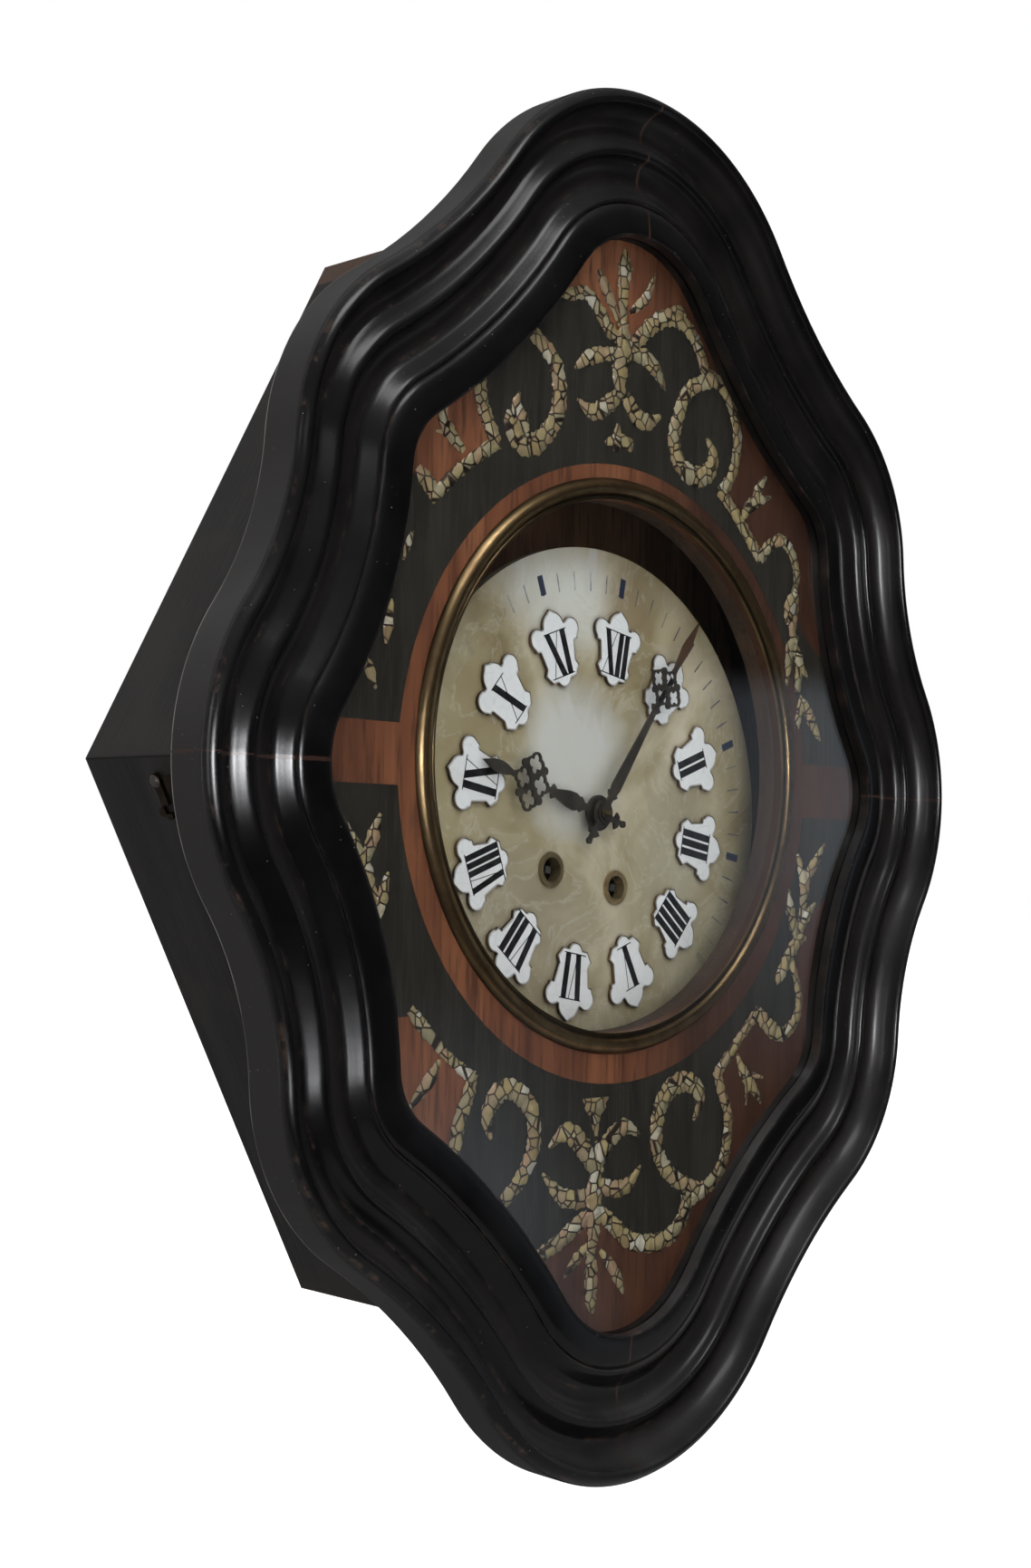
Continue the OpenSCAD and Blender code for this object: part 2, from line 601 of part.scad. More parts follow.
strike_third_p = strike_second_p
    + pitch_gap(60, pinion_6, train_size) * [cos(strike_third_aim), sin(strike_third_aim)];
fly_aim = 84;
fly_p = strike_third_p + pitch_gap(54, pinion_6, 0.4) * [cos(fly_aim), sin(fly_aim)];
anchor_p = [0, escape_up + 17];
hammer_p = [-47, -30];
minute_stud_p = [0, 12.1];

// Depths of the wheel work between the plates
front_in = plate_depth + plate_t;
great_front = front_in + 14;
great_t = 1.6;
train_t = 1.2;
arbor_r = 0.9;
// An arbor at p between the plates, with a pivot in each, as thick as r between them
module arbor(p, r) translate([p[0], 0, p[1]]) {
    slab(front_in + 0.3, back_plate_depth - 0.3) circle(r);
    slab(plate_depth + 0.3, movement_back - 0.4) circle(min(r, pivot_r));
}
pivot_r = 0.7;
fine_arbor_r = 0.6;
module at(p) translate([p[0], 0, p[1]]) children();
steel = [0.55, 0.56, 0.58];
brass = [0.78, 0.63, 0.33];

module going_barrel() color(brass) in_movement() barrel(going_p, heading(going_p, intermediate_p));
module strike_barrel() color(brass) in_movement() barrel(strike_p, second_aim);
winding_arbor_r = 2.5;
module barrel(p, aim) at(p) difference() {
    union() {
        slab(front_in + 1.2, great_front) circle(barrel_r);
        slab(great_front, great_front + great_t) wheel_teeth(great_teeth, great_size, aim);
        slab(front_in + 0.6, great_front + great_t + 0.8) circle(4.5);
    }
    slab(front_in, great_front + great_t + 2) circle(winding_arbor_r + pivot_play);
}
ratchet_r = 8;
ratchet_teeth = 20;
square_w = 3.4;
// A winding arbor: a square for the key, the ratchet in front of the plate and the barrel's axle
module winding_arbor(p) at(p) {
    slab(dial_depth + 1.6, plate_depth - 1.9) square(square_w, center = true);
    slab(plate_depth - 1.9, plate_depth - 0.4) polygon([
        for (i = [0:ratchet_teeth - 1], c = [[ratchet_r, 0], [ratchet_r - 1.3, 0.12]])
            let(a = (i + c[1]) * 360 / ratchet_teeth) c[0] * [cos(a), sin(a)]
    ]);
    slab(plate_depth - 0.4, movement_back - 0.3) circle(winding_arbor_r);
}
module going_winding_arbor() color(steel) in_movement() winding_arbor(going_p);
module strike_winding_arbor() color(steel) in_movement() winding_arbor(strike_p);
// Each click lies just clear of its ratchet, on a stud of the front plate.
click_reach = 13.2;
click_stud_r = 1.2;
going_click_aim = 62;
strike_click_aim = 118;
function click_stud(p, aim) = p + click_reach * [cos(aim), sin(aim)];
module click(p, aim) at(click_stud(p, aim)) slab(plate_depth - 1.9, plate_depth - 0.5) rotate(aim)
    difference() {
        union() {
            circle(2.6);
            polygon([[-0.4, 2.5], [-6, 6.9], [-7, 5.8], [-2.5, -0.4]]);
        }
        circle(click_stud_r + pivot_play);
    }
module going_click() color(steel) in_movement() click(going_p, going_click_aim);
module strike_click() color(steel) in_movement() click(strike_p, strike_click_aim);

module intermediate_wheel() color(brass) in_movement() {
    arbor(intermediate_p, arbor_r);
    at(intermediate_p) {
        slab(great_front - 0.3, great_front + great_t + 0.4)
            pinion_teeth(pinion_8, great_size, heading(intermediate_p, going_p));
        slab(great_front + 3.6, great_front + 3.6 + train_t)
            crossed_wheel(60, train_size, heading(intermediate_p, centre_p), 5, 2.4, 1.6);
        slab(great_front + 3, great_front + 5.4) circle(2.4);
    }
}
centre_arbor_r = 1.1;
hand_front = 36.9;
centre_layer = front_in + 5;
module centre_wheel() color(brass) in_movement() {
    slab(hand_front - 3.4, movement_back - 0.2) circle(centre_arbor_r);
    slab(great_front + 3.1, great_front + 5.3)
        pinion_teeth(pinion_8, train_size, heading(centre_p, intermediate_p));
    slab(centre_layer, centre_layer + train_t)
        crossed_wheel(60, train_size, heading(centre_p, third_p), 5, 2.4, 1.6);
    slab(centre_layer - 0.8, centre_layer + train_t + 0.8) circle(2.4);
}
third_layer = front_in + 10;
module third_wheel() color(brass) in_movement() {
    arbor(third_p, 0.8);
    at(third_p) {
        slab(centre_layer - 0.6, centre_layer + train_t + 0.6)
            pinion_teeth(pinion_6, train_size, heading(third_p, centre_p));
        slab(third_layer, third_layer + train_t)
            crossed_wheel(third_teeth, third_size, heading(third_p, escape_p), 5, 2, 1.4);
        slab(third_layer - 0.6, third_layer + train_t + 0.6) circle(2);
    }
}
escape_r = 10.6;
escape_teeth = 36;
escape_layer = front_in + 14.4;
module escape_wheel() color(brass) in_movement() {
    arbor(escape_p, fine_arbor_r);
    at(escape_p) {
        slab(third_layer - 0.5, third_layer + train_t + 0.5)
            pinion_teeth(pinion_6, third_size, heading(escape_p, third_p));
        slab(escape_layer, escape_layer + 1) difference() {
            polygon([
                for (i = [0:escape_teeth - 1], c = [[escape_r, 0], [escape_r - 1.7, 0.22],
                    [escape_r - 1.7, 0.7]])
                    let(a = (i + c[1]) * 360 / escape_teeth) c[0] * [cos(a), sin(a)]
            ]);
            for (i = [0:4]) rotate(72 * i) translate([4.9, 0]) circle(1.9, $fn = 24);
        }
        slab(escape_layer - 0.6, escape_layer + 1.6) circle(1.8);
    }
}
// The anchor spans the escape wheel, and its crutch hangs plumb behind the back plate.
crutch_len = 38;
crutch_front = movement_back + 1.2;
rod_depth = movement_back + 4;
rod_t = 1.2;
rod_w = 3.2;
module anchor_crutch() color(steel) in_movement() at(anchor_p) {
    slab(front_in + 0.3, back_plate_depth - 0.3) circle(arbor_r);
    slab(plate_depth + 0.2, crutch_front + 1.2) circle(pivot_r);
    slab(escape_layer - 0.4, escape_layer + 1.4) {
        circle(2.6);
        polygon([
            [-11.4, -10.2], [-9.9, -10.4], [-7.6, -5], [0, -0.8], [7.6, -5], [9.9, -10.4], [11.4, -10.2],
            [9.6, -4.2], [0, 2.2], [-9.6, -4.2]
        ]);
    }
    rotate([0, -dial_turn, 0]) {
        slab(crutch_front, crutch_front + 1) {
            circle(2);
            translate([-1, -crutch_len]) square([2, crutch_len]);
            translate([-rod_w / 2 - 1.8, -crutch_len - 2]) square([rod_w + 3.6, 2.4]);
        }
        for (side = [-1, 1]) slab(crutch_front + 1, rod_depth + rod_t + 0.6)
            translate([side * (rod_w / 2 + 1.1) - 0.7, -crutch_len - 2]) square([1.4, 2.4]);
    }
}
pendulum_top = movement_point(anchor_p);
spring_depth = rod_depth + rod_t / 2 - 0.15;
module pendulum_rod() color(steel) translate([pendulum_top[0], 0, pendulum_top[1]]) {
    slab(spring_depth, spring_depth + 0.3) translate([-2, -9]) square([4, 16.5]);
    slab(rod_depth, rod_depth + rod_t) {
        translate([-3, -14]) square([6, 5.4]);
        translate([-rod_w / 2, -pendulum_len - bob_r - 12]) square([rod_w, pendulum_len + bob_r + 0.6]);
    }
    slab(rod_depth - 2.4, rod_depth + rod_t + 2.4) translate([0, -pendulum_len - bob_r - 3.6])
        square([7, 5], center = true);
}
bob_t = 7.6;
module pendulum_bob() color(brass)
    translate([pendulum_top[0], rod_depth + rod_t / 2 - wall_depth, pendulum_top[1] - pendulum_len])
        difference() {
            rotate([90, 0, 0]) rotate_extrude() polygon([
                [0, -bob_t / 2], [bob_r * 0.6, -bob_t * 0.4], [bob_r, -0.6], [bob_r, 0.6],
                [bob_r * 0.6, bob_t * 0.4], [0, bob_t / 2]
            ]);
            translate([-rod_w / 2 - 0.05, -rod_t / 2 - 0.05, -bob_r - cut])
                cube([rod_w + 0.1, rod_t + 0.1, 2 * bob_r + 2 * cut]);
        }
module suspension_cock() color(brass) translate([pendulum_top[0], 0, pendulum_top[1]]) difference() {
    slab(movement_back, spring_depth + 3) translate([-8, 4]) square([16, 8]);
    slab(spring_depth - 0.35, spring_depth + 0.65) translate([-3.2, 3]) square([6.4, 6.5]);
}

second_layer = great_front + 3.6;
module strike_second_wheel() color(brass) in_movement() {
    arbor(strike_second_p, arbor_r);
    at(strike_second_p) {
        slab(great_front - 0.3, great_front + great_t + 0.4)
            pinion_teeth(pinion_8, great_size, second_aim + 180);
        slab(second_layer, second_layer + train_t)
            crossed_wheel(60, train_size, strike_third_aim, 5, 2.4, 1.6);
        slab(second_layer - 0.6, second_layer + 1.8) circle(2.4);
        for (i = [0:9]) slab(second_layer - 1.4, second_layer)
            rotate(36 * i) translate([12.9, 0]) circle(0.5, $fn = 16);
    }
}
module strike_third_wheel() color(brass) in_movement() {
    arbor(strike_third_p, 0.8);
    at(strike_third_p) {
        slab(second_layer - 0.4, second_layer + 1.6)
            pinion_teeth(pinion_6, train_size, strike_third_aim + 180);
        slab(third_layer, third_layer + train_t) crossed_wheel(54, 0.4, fly_aim, 4, 2, 1.4);
        slab(third_layer - 0.6, third_layer + train_t + 0.6) circle(2);
    }
}
fly_r = 8;
module fly() color(brass) in_movement() {
    arbor(fly_p, fine_arbor_r);
    at(fly_p) {
        slab(third_layer - 0.5, third_layer + train_t + 0.5) pinion_teeth(pinion_6, 0.4, fly_aim + 180);
        slab(front_in + 1.4, third_layer - 1.2) {
            square([2 * fly_r, 0.6], center = true);
            circle(1.2);
        }
    }
}
// The hammer hangs on its arbor, and its head stands just off the outer turn of the gong.
hammer_layer = front_in + 6.6;
hammer_gap = 2;
gong_wire_depth = hammer_layer + 1.4;
gong_x = 1;
head_len = 10;
hammer_top = movement_point(hammer_p);
head_p = [gong_x - gong_r - gong_wire_r - hammer_gap - head_len / 2, -gong_drop + 2];
module hammer() color(brass) {
    in_movement() arbor(hammer_p, 1);
    way = heading(hammer_top, head_p);
    reach = norm(head_p - hammer_top);
    at(hammer_top) slab(hammer_layer, hammer_layer + 2.8) {
        circle(2.6);
        rotate(way) translate([0, -1.3]) square([reach, 2.6]);
    }
    translate([head_p[0] - head_len / 2, gong_wire_depth - wall_depth, head_p[1]]) rotate([0, 90, 0])
        cylinder(h = head_len, r = 5);
}
// The gong is one unbroken tube: a straight lead out of its block, then turns that wind inwards.
gong_lead = 8;
gong_root = 6;
gong_start = [gong_x, -gong_drop - gong_r];
loop_rings = 24;
function gong_point(i) =
    let(a = i * 360 / loop_rings, r = gong_r - gong_pitch * a / 360)
    [gong_x + r * sin(a), -gong_drop - r * cos(a)];
gong_path = concat(
    [[gong_start[0] - gong_lead - gong_root, gong_start[1]], [gong_start[0] - gong_lead, gong_start[1]]],
    [for (i = [0:gong_turns * loop_rings]) gong_point(i)]
);
function path_way(p, i) =
    let(a = p[max(i - 1, 0)], b = p[min(i + 1, len(p) - 1)]) (b - a) / norm(b - a);
gong_self_gap = min([
    for (i = [0:(gong_turns - 1) * loop_rings]) norm(gong_point(i) - gong_point(i + loop_rings))
]) - 2 * gong_wire_r;
echo(gong_self_gap = gong_self_gap);
module gong_coil() color([0.35, 0.36, 0.4]) {
    sides = 6;
    n = len(gong_path);
    points = [
        for (i = [0:n - 1], k = [0:sides - 1])
            let(
                w = i < 2 ? [1, 0] : path_way(gong_path, i),
                across = [w[1], -w[0]],
                a = 60 * k,
                q = gong_path[i] + gong_wire_r * cos(a) * across
            )
            [q[0], gong_wire_depth - wall_depth + gong_wire_r * sin(a), q[1]]
    ];
    faces = [
        for (i = [0:n - 2], k = [0:sides - 1])
            let(m = (k + 1) % sides) [i * sides + k, i * sides + m, (i + 1) * sides + m, (i + 1) * sides + k]
    ];
    polyhedron(
        points,
        concat(faces, [[for (k = [sides - 1:-1:0]) k]], [[for (k = [0:sides - 1]) (n - 1) * sides + k]]),
        convexity = 10
    );
}
block_w = 16;
module gong_block() color([0.25, 0.25, 0.26]) difference() {
    translate([gong_start[0] - gong_lead - block_w, gong_wire_depth - 8 - wall_depth, -top_in_z])
        cube([block_w, 16, top_in_z + gong_start[1] + 3]);
    translate([gong_start[0] - gong_lead - gong_root, gong_wire_depth - wall_depth, gong_start[1]])
        rotate([0, 90, 0]) cylinder(h = gong_root + cut, r = gong_wire_r + 0.02);
}

// Plates of the movement, bored for each arbor
module plate_bores() {
    for (p = [intermediate_p, third_p, anchor_p, strike_second_p, strike_third_p, hammer_p])
        translate(p) circle(pivot_r + pivot_play);
    for (p = [escape_p, fly_p]) translate(p) circle(fine_arbor_r + pivot_play);
    for (p = winding_points) translate(p) circle(winding_arbor_r + pivot_play);
    circle(centre_arbor_r + pivot_play);
    for (p = pillar_points) translate(p) circle(pillar_tenon_r);
}
pillar_points = [[-39, -54], [39, -54], [-42, 50], [42, 50]];
pillar_r = 3.2;
pillar_tenon_r = 1.7;
module front_plate() color(brass) in_movement() {
    slab(plate_depth, front_in) difference() {
        translate([-plate_w / 2, -plate_down]) square([plate_w, plate_up + plate_down]);
        plate_bores();
        for (p = dial_feet) translate(p) circle(foot_tenon_r + 0.02);
    }
    at(minute_stud_p) slab(minute_stud_front, plate_depth) circle(minute_stud_r);
    for (p = [click_stud(going_p, going_click_aim), click_stud(strike_p, strike_click_aim)])
        at(p) slab(plate_depth - 2.3, plate_depth) circle(click_stud_r);
}
module back_plate() color(brass) in_movement() slab(back_plate_depth, movement_back) difference() {
    translate([-ear_w / 2, -plate_down]) square([ear_w, plate_up + plate_down]);
    plate_bores();
    for (p = ear_holes) translate(p) circle(seat_screw_r + 0.02);
}
module plate_pillars() color(brass) in_movement() for (p = pillar_points) at(p) {
    slab(front_in, back_plate_depth) circle(pillar_r);
    slab(front_in + 2.4, front_in + 4.6) circle(pillar_r + 1);
    slab(plate_depth - 2.4, movement_back) circle(pillar_tenon_r - 0.02);
}

// Motion work between the dial plate and the front plate
minute_stud_front = dial_plate_back + 0.6;
minute_stud_r = 1.2;
motion_size = 0.5;
cannon_teeth = 12;
minute_teeth = 36;
minute_leaves = 10;
hour_teeth = 40;
hour_size = 0.48;
cannon_layer = plate_depth - 3;
hour_layer = cannon_layer - 2.2;
cannon_r = 2;
module cannon_pinion() color(steel) in_movement() difference() {
    union() {
        slab(hand_front, plate_depth - 0.3) circle(cannon_r);
        slab(cannon_layer - 0.5, plate_depth - 0.4)
            pinion_teeth(cannon_teeth, motion_size, heading(centre_p, minute_stud_p));
    }
    slab(hand_front - cut, plate_depth + cut) circle(centre_arbor_r + pivot_play);
}
hour_pipe_front = hand_front + 2.6;
module hour_wheel() color(brass) in_movement() difference() {
    union() {
        slab(hour_pipe_front, hour_layer + train_t) circle(hour_pipe_r);
        slab(hour_layer, hour_layer + train_t)
            wheel_teeth(hour_teeth, hour_size, heading(centre_p, minute_stud_p));
    }
    slab(hour_pipe_front - cut, plate_depth) circle(cannon_r + pivot_play);
}
module minute_wheel() color(brass) in_movement() at(minute_stud_p) difference() {
    union() {
        slab(cannon_layer, cannon_layer + train_t)
            wheel_teeth(minute_teeth, motion_size, heading(minute_stud_p, centre_p));
        slab(hour_layer - 0.5, cannon_layer)
            pinion_teeth(minute_leaves, hour_size, heading(minute_stud_p, centre_p));
    }
    slab(minute_stud_front - cut, plate_depth) circle(minute_stud_r + pivot_play);
}

// Hands: blued steel, each with a rosette of four pierced leaf shapes, a collar below it and a tail
blued = [0.13, 0.15, 0.22];
// Four leaves round a middle, as a hole or, larger by more, as the rim round that hole
module four_leaves(leaf, more) {
    for (a = [0:90:270]) rotate(a) translate([leaf * 1.3, 0]) circle(leaf + more, $fn = 32);
    circle(leaf * 0.95 + more, $fn = 32);
}
// A rosette that reaches so far sideways from its middle
module rosette_rim(reach) {
    for (side = [-1, 1]) {
        translate([0, side * reach * 0.41]) four_leaves(reach * 0.14, 1.15);
        translate([side * reach * 0.59, 0]) four_leaves(reach * 0.14, 1.15);
    }
    circle(reach * 0.58, $fn = 48);
    for (a = [43, 137, 223, 317]) rotate(a) translate([reach * 0.69, 0]) circle(reach * 0.14, $fn = 24);
}
module rosette_holes(reach) for (side = [-1, 1]) {
    translate([0, side * reach * 0.41]) four_leaves(reach * 0.14, 0);
    translate([side * reach * 0.59, 0]) four_leaves(reach * 0.14, 0);
}
// A hand of the given length: its rosette's middle at flower_at, its shaft's width and the blade's
module hand_shape(length, hub_r, hole_r, flower_at, flower_r, root_w, blade_w) difference() {
    low = flower_at - flower_r * 0.95;
    high = flower_at + flower_r * 0.72;
    mid = (high + length) / 2;
    union() {
        circle(hub_r);
        polygon([[1.7, 0], [1.7, hub_r + 5], [-1.7, hub_r + 5], [-1.7, 0]]);
        polygon([[-1.5, hub_r + 2], [1.5, hub_r + 2], [root_w, hub_r + 9], [root_w * 0.94, hub_r + 14],
            [1.25, low], [1.4, low + 4], [-1.4, low + 4], [-1.25, low], [-root_w * 0.94, hub_r + 14],
            [-root_w, hub_r + 9]]);
        translate([0, hub_r + 4.5]) collar(3.8);
        translate([0, low - 1.5]) collar(3.6);
        translate([0, flower_at]) rosette_rim(flower_r);
        polygon([[-1.6, high], [1.6, high], [1.3, high + 3.5], [blade_w * 0.9, mid - 3], [blade_w, mid],
            [blade_w * 0.8, mid + 5], [0, length], [-blade_w * 0.8, mid + 5], [-blade_w, mid],
            [-blade_w * 0.9, mid - 3], [-1.3, high + 3.5]]);
        polygon([[-1.1, -hub_r - 10], [1.1, -hub_r - 10], [1.8, 0], [-1.8, 0]]);
        translate([0, -hub_r - 5]) collar(4.2);
        translate([0, -hub_r - 10]) circle(1.7, $fn = 24);
    }
    circle(hole_r);
    translate([0, flower_at]) rosette_holes(flower_r);
}
// A collar: a waist with a pointed ear on each side
module collar(half) {
    polygon([[-half, 0.7], [-half * 0.6, -1.5], [half * 0.6, -1.5], [half, 0.7], [half * 0.5, 1.6],
        [-half * 0.5, 1.6]]);
}
module minute_hand() color(blued)
    at([dial_shift, -dial_drop]) rotate([0, minute_angle, 0]) slab(hand_front, hand_front + hand_t)
        hand_shape(minute_len, 6.4, cannon_r + 0.02, 78, 12.6, 3.2, 2.7);
module hour_hand() color(blued)
    at([dial_shift, -dial_drop]) rotate([0, hour_angle, 0])
        slab(hour_pipe_front + 0.3, hour_pipe_front + 0.3 + hand_t)
            hand_shape(hour_len, 8.6, hour_pipe_r + 0.02, 48.5, 14.4, 4.3, 3.1);
module hand_collet() color([0.4, 0.36, 0.3]) in_movement() difference() {
    union() {
        slab(hand_front - 0.8, hand_front) circle(4.6);
        slab(hand_front - 1.6, hand_front - 0.8) circle(3);
    }
    slab(hand_front - 2, hand_front + cut) circle(centre_arbor_r + 0.02);
}

case_top_board();
case_bottom_board();
case_upper_left_board();
case_lower_left_board();
case_upper_right_board();
case_lower_right_board();
back_board();
hanging_plate();
left_seat_batten();
right_seat_batten();
movement_screws();
case_screws();
hinge_case_leaves();
hinge_pins();
gong_block();
frame_upper_right();
frame_lower_right();
frame_lower_left();
frame_upper_left();
glass();
glass_fillet();
inlaid_panel();
bezel();
opening_ring();
hinge_door_leaves();
hinge_door_screws();
latch_catch();
latch_hook();
dial();
dial_plate();
hour_plaques();
winding_escutcheons();
minute_hand();
hand_collet();
cannon_pinion();
hour_hand();
hour_wheel();
minute_wheel();
front_plate();
back_plate();
plate_pillars();
suspension_cock();
going_click();
strike_click();
going_barrel();
going_winding_arbor();
intermediate_wheel();
centre_wheel();
third_wheel();
escape_wheel();
anchor_crutch();
pendulum_rod();
pendulum_bob();
strike_barrel();
strike_winding_arbor();
strike_second_wheel();
strike_third_wheel();
fly();
hammer();
gong_coil();
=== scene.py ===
import math

import bpy
from mathutils import Matrix, Vector


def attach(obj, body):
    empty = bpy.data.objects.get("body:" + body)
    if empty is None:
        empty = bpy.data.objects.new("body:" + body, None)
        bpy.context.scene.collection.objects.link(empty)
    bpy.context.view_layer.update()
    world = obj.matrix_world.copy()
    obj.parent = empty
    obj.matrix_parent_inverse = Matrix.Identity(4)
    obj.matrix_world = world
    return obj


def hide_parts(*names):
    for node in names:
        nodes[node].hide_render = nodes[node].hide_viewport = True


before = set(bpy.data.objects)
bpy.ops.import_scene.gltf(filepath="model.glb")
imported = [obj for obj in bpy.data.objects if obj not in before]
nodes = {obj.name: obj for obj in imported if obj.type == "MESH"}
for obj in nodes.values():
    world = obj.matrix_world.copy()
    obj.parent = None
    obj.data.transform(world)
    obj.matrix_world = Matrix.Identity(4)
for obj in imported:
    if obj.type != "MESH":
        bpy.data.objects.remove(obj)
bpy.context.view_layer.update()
bpy.ops.object.select_all(action="DESELECT")
scene = bpy.context.scene

# The viewpoint: the clock is seen from its left and a little from below, so that the left side of the
# case and the depth of the moulding show.
turn, rise, roll = math.radians(-46.4), math.radians(-2.32), math.radians(1.09)
back = Vector((math.sin(turn) * math.cos(rise), -math.cos(turn) * math.cos(rise), math.sin(rise)))
right = (-back).cross(Vector((0, 0, 1))).normalized()
up = right.cross(-back)
across = math.cos(roll) * right + math.sin(roll) * up
upright = -math.sin(roll) * right + math.cos(roll) * up
turned = Matrix((across, upright, back)).transposed()
bpy.ops.object.camera_add(location=(-0.7041, -0.6857, -0.0399), rotation=turned.to_euler())
camera = bpy.context.object
camera.data.lens = 45.5
camera.data.clip_end = 50
scene.camera = camera


# The case: six mitred softwood boards, painted satin black over a brown ground and rubbed bare along
# their edges. The grain of each board runs along its length.
def add(at, kind, inputs=None, **settings):
    """Adds a node to the node tree that a node or socket lies in, and links the inputs that are outputs."""
    tree = at.id_data
    node = tree.nodes.new("ShaderNode" + kind)
    for key, value in settings.items():
        setattr(node, key, value)
    for key, value in (inputs or {}).items():
        if isinstance(value, bpy.types.NodeSocket):
            tree.links.new(value, node.inputs[key])
        else:
            node.inputs[key].default_value = value
    return node


def feed(node, **sources):
    """Links sources to a node's inputs, named with _ for each space."""
    for key, source in sources.items():
        node.id_data.links.new(source, node.inputs[key.replace("_", " ")])


def maths(operation, *values):
    """A sum of numbers and of sockets, of which there is at least one."""
    at = next(value for value in values if isinstance(value, bpy.types.NodeSocket))
    return add(at, "Math", dict(enumerate(values)), operation=operation).outputs[0]


def times(first, *more):
    for value in more:
        first = maths("MULTIPLY", first, value)
    return first


def plus(first, second):
    return maths("ADD", first, second)


def minus(first, second):
    return maths("SUBTRACT", first, second)


def vectors(operation, first, second=None):
    """A sum of vectors. The second of SCALE is a number, and LENGTH has none."""
    inputs = {0: first}
    if second is not None:
        inputs["Scale" if operation == "SCALE" else 1] = second
    node = add(first, "VectorMath", inputs, operation=operation)
    return node.outputs["Value" if operation in ("DOT_PRODUCT", "LENGTH") else 0]


def split(vector):
    return add(vector, "SeparateXYZ", {"Vector": vector}).outputs


def noise(vector, scale, detail, **more):
    return add(vector, "TexNoise", {"Vector": vector, "Scale": scale, "Detail": detail, **more}).outputs[0]


def steps(value, *stops):
    """Colours or greys along a value, as (position, colour) or (position, grey) pairs."""
    node = add(value, "ValToRGB", {"Fac": value})
    elements = node.color_ramp.elements
    elements[0].position, elements[-1].position = stops[0][0], stops[-1][0]
    for where, _ in stops[1:-1]:
        elements.new(where)
    for element, (_, tone) in zip(elements, stops):
        element.color = (*tone, 1) if isinstance(tone, tuple) else (tone, tone, tone, 1)
    return node.outputs["Color"]


def rise(value, start, end):
    """0 up to the start and 1 from the end."""
    return steps(value, (start, 0.0), (end, 1.0))


def fall(value, start, end):
    """1 up to the start and 0 from the end."""
    return steps(value, (start, 1.0), (end, 0.0))


def blend(share, first, second):
    """The first colour where the share is 0 and the second where it is 1."""
    first, second = ((*c, 1) if isinstance(c, tuple) else c for c in (first, second))
    return add(share, "MixRGB", {"Fac": share, "Color1": first, "Color2": second}).outputs[0]


def finish(name, **plain):
    """A new material, its shader and its Object coordinates."""
    look = bpy.data.materials.new(name)
    look.use_nodes = True
    shader = look.node_tree.nodes["Principled BSDF"]
    for key, value in plain.items():
        shader.inputs[key.replace("_", " ").title().replace("Ior", "IOR")].default_value = value
    return look, shader, add(shader, "TexCoord").outputs["Object"]


def relief(shader, height, distance, strength=1.0):
    bump = add(shader, "Bump", {"Height": height, "Distance": distance, "Strength": strength})
    feed(shader, Normal=bump.outputs[0])


def dress(look, *names):
    """Gives CAD nodes, by name, or new pieces their material."""
    for name in names:
        slots = (nodes[name] if isinstance(name, str) else name).data.materials
        slots.clear()
        slots.append(look)


def group(name, *results, **amounts):
    """A shared node group for a Vector and amounts: its tree, what it is given and where its results go."""
    tree = bpy.data.node_groups.new(name, "ShaderNodeTree")
    tree.interface.new_socket("Vector", in_out="INPUT", socket_type="NodeSocketVector")
    for key, value in amounts.items():
        amount = tree.interface.new_socket(key, in_out="INPUT", socket_type="NodeSocketFloat")
        amount.default_value = value
    for key in results:
        tree.interface.new_socket(key, in_out="OUTPUT", socket_type="NodeSocketFloat")
    return tree, tree.nodes.new("NodeGroupInput").outputs, tree.nodes.new("NodeGroupOutput")


def use(shared, **inputs):
    """The outputs of a shared node group, one of whose inputs is a socket called Vector."""
    return add(inputs["Vector"], "Group", inputs, node_tree=shared).outputs


# Wood grain that runs along X of the vector that it is given
wood_grain, given, result = group("wood grain", "Tone", "Pores", Size=1.0)
sized = vectors("SCALE", vectors("MULTIPLY", given["Vector"], (0.09, 1.0, 1.0)), given["Size"])
bands = noise(sized, 95, 6, Distortion=0.8)
fibres = noise(sized, 620, 3)
feed(result, Tone=bands, Pores=rise(fibres, 0.33, 0.5))


def flat_share(at, radius, samples):
    """1 where a surface is flat, and less on an edge, within the radius of it."""
    rounded = add(at, "Bevel", {"Radius": radius}, samples=samples).outputs[0]
    return vectors("DOT_PRODUCT", rounded, add(at, "NewGeometry").outputs["Normal"])


# Edges rubbed through: 1 on a sharp outer edge, broken up by a noise
worn_edges, given, result = group("worn edges", "Mask", Reach=0.001)
flatness = flat_share(worn_edges, given["Reach"], 4)
patches = noise(given["Vector"], 60, 4)
edge = times(minus(1.0, flatness), 9.0, minus(patches, 0.28))
feed(result, Mask=add(worn_edges, "Clamp", {"Value": edge}).outputs[0])

# Dust: small pale specks, and a thin veil where the surface looks up
dust, given, result = group("dust", "Mask", Amount=1.0)
cells = add(dust, "TexVoronoi", {"Vector": given["Vector"], "Scale": 420}).outputs
near = fall(cells["Distance"], 0.05, 0.11)
chance = add(dust, "SeparateColor", {"Color": cells["Color"]}).outputs[0]
specks = times(near, rise(chance, 0.9, 0.93))
faces_up = split(add(dust, "NewGeometry").outputs["Normal"])["Z"]
clouds = noise(given["Vector"], 25, 6)
veil = times(maths("MAXIMUM", faces_up, 0.0), clouds, 0.12)
feed(result, Mask=times(plus(times(specks, 0.5), veil), given["Amount"]))


def along(place, degrees):
    """Object coordinates turned so that X runs along a board that slopes by degrees in the clock's face."""
    return add(place, "Mapping", {"Vector": place, "Rotation": (0, math.radians(degrees), 0)}).outputs[0]


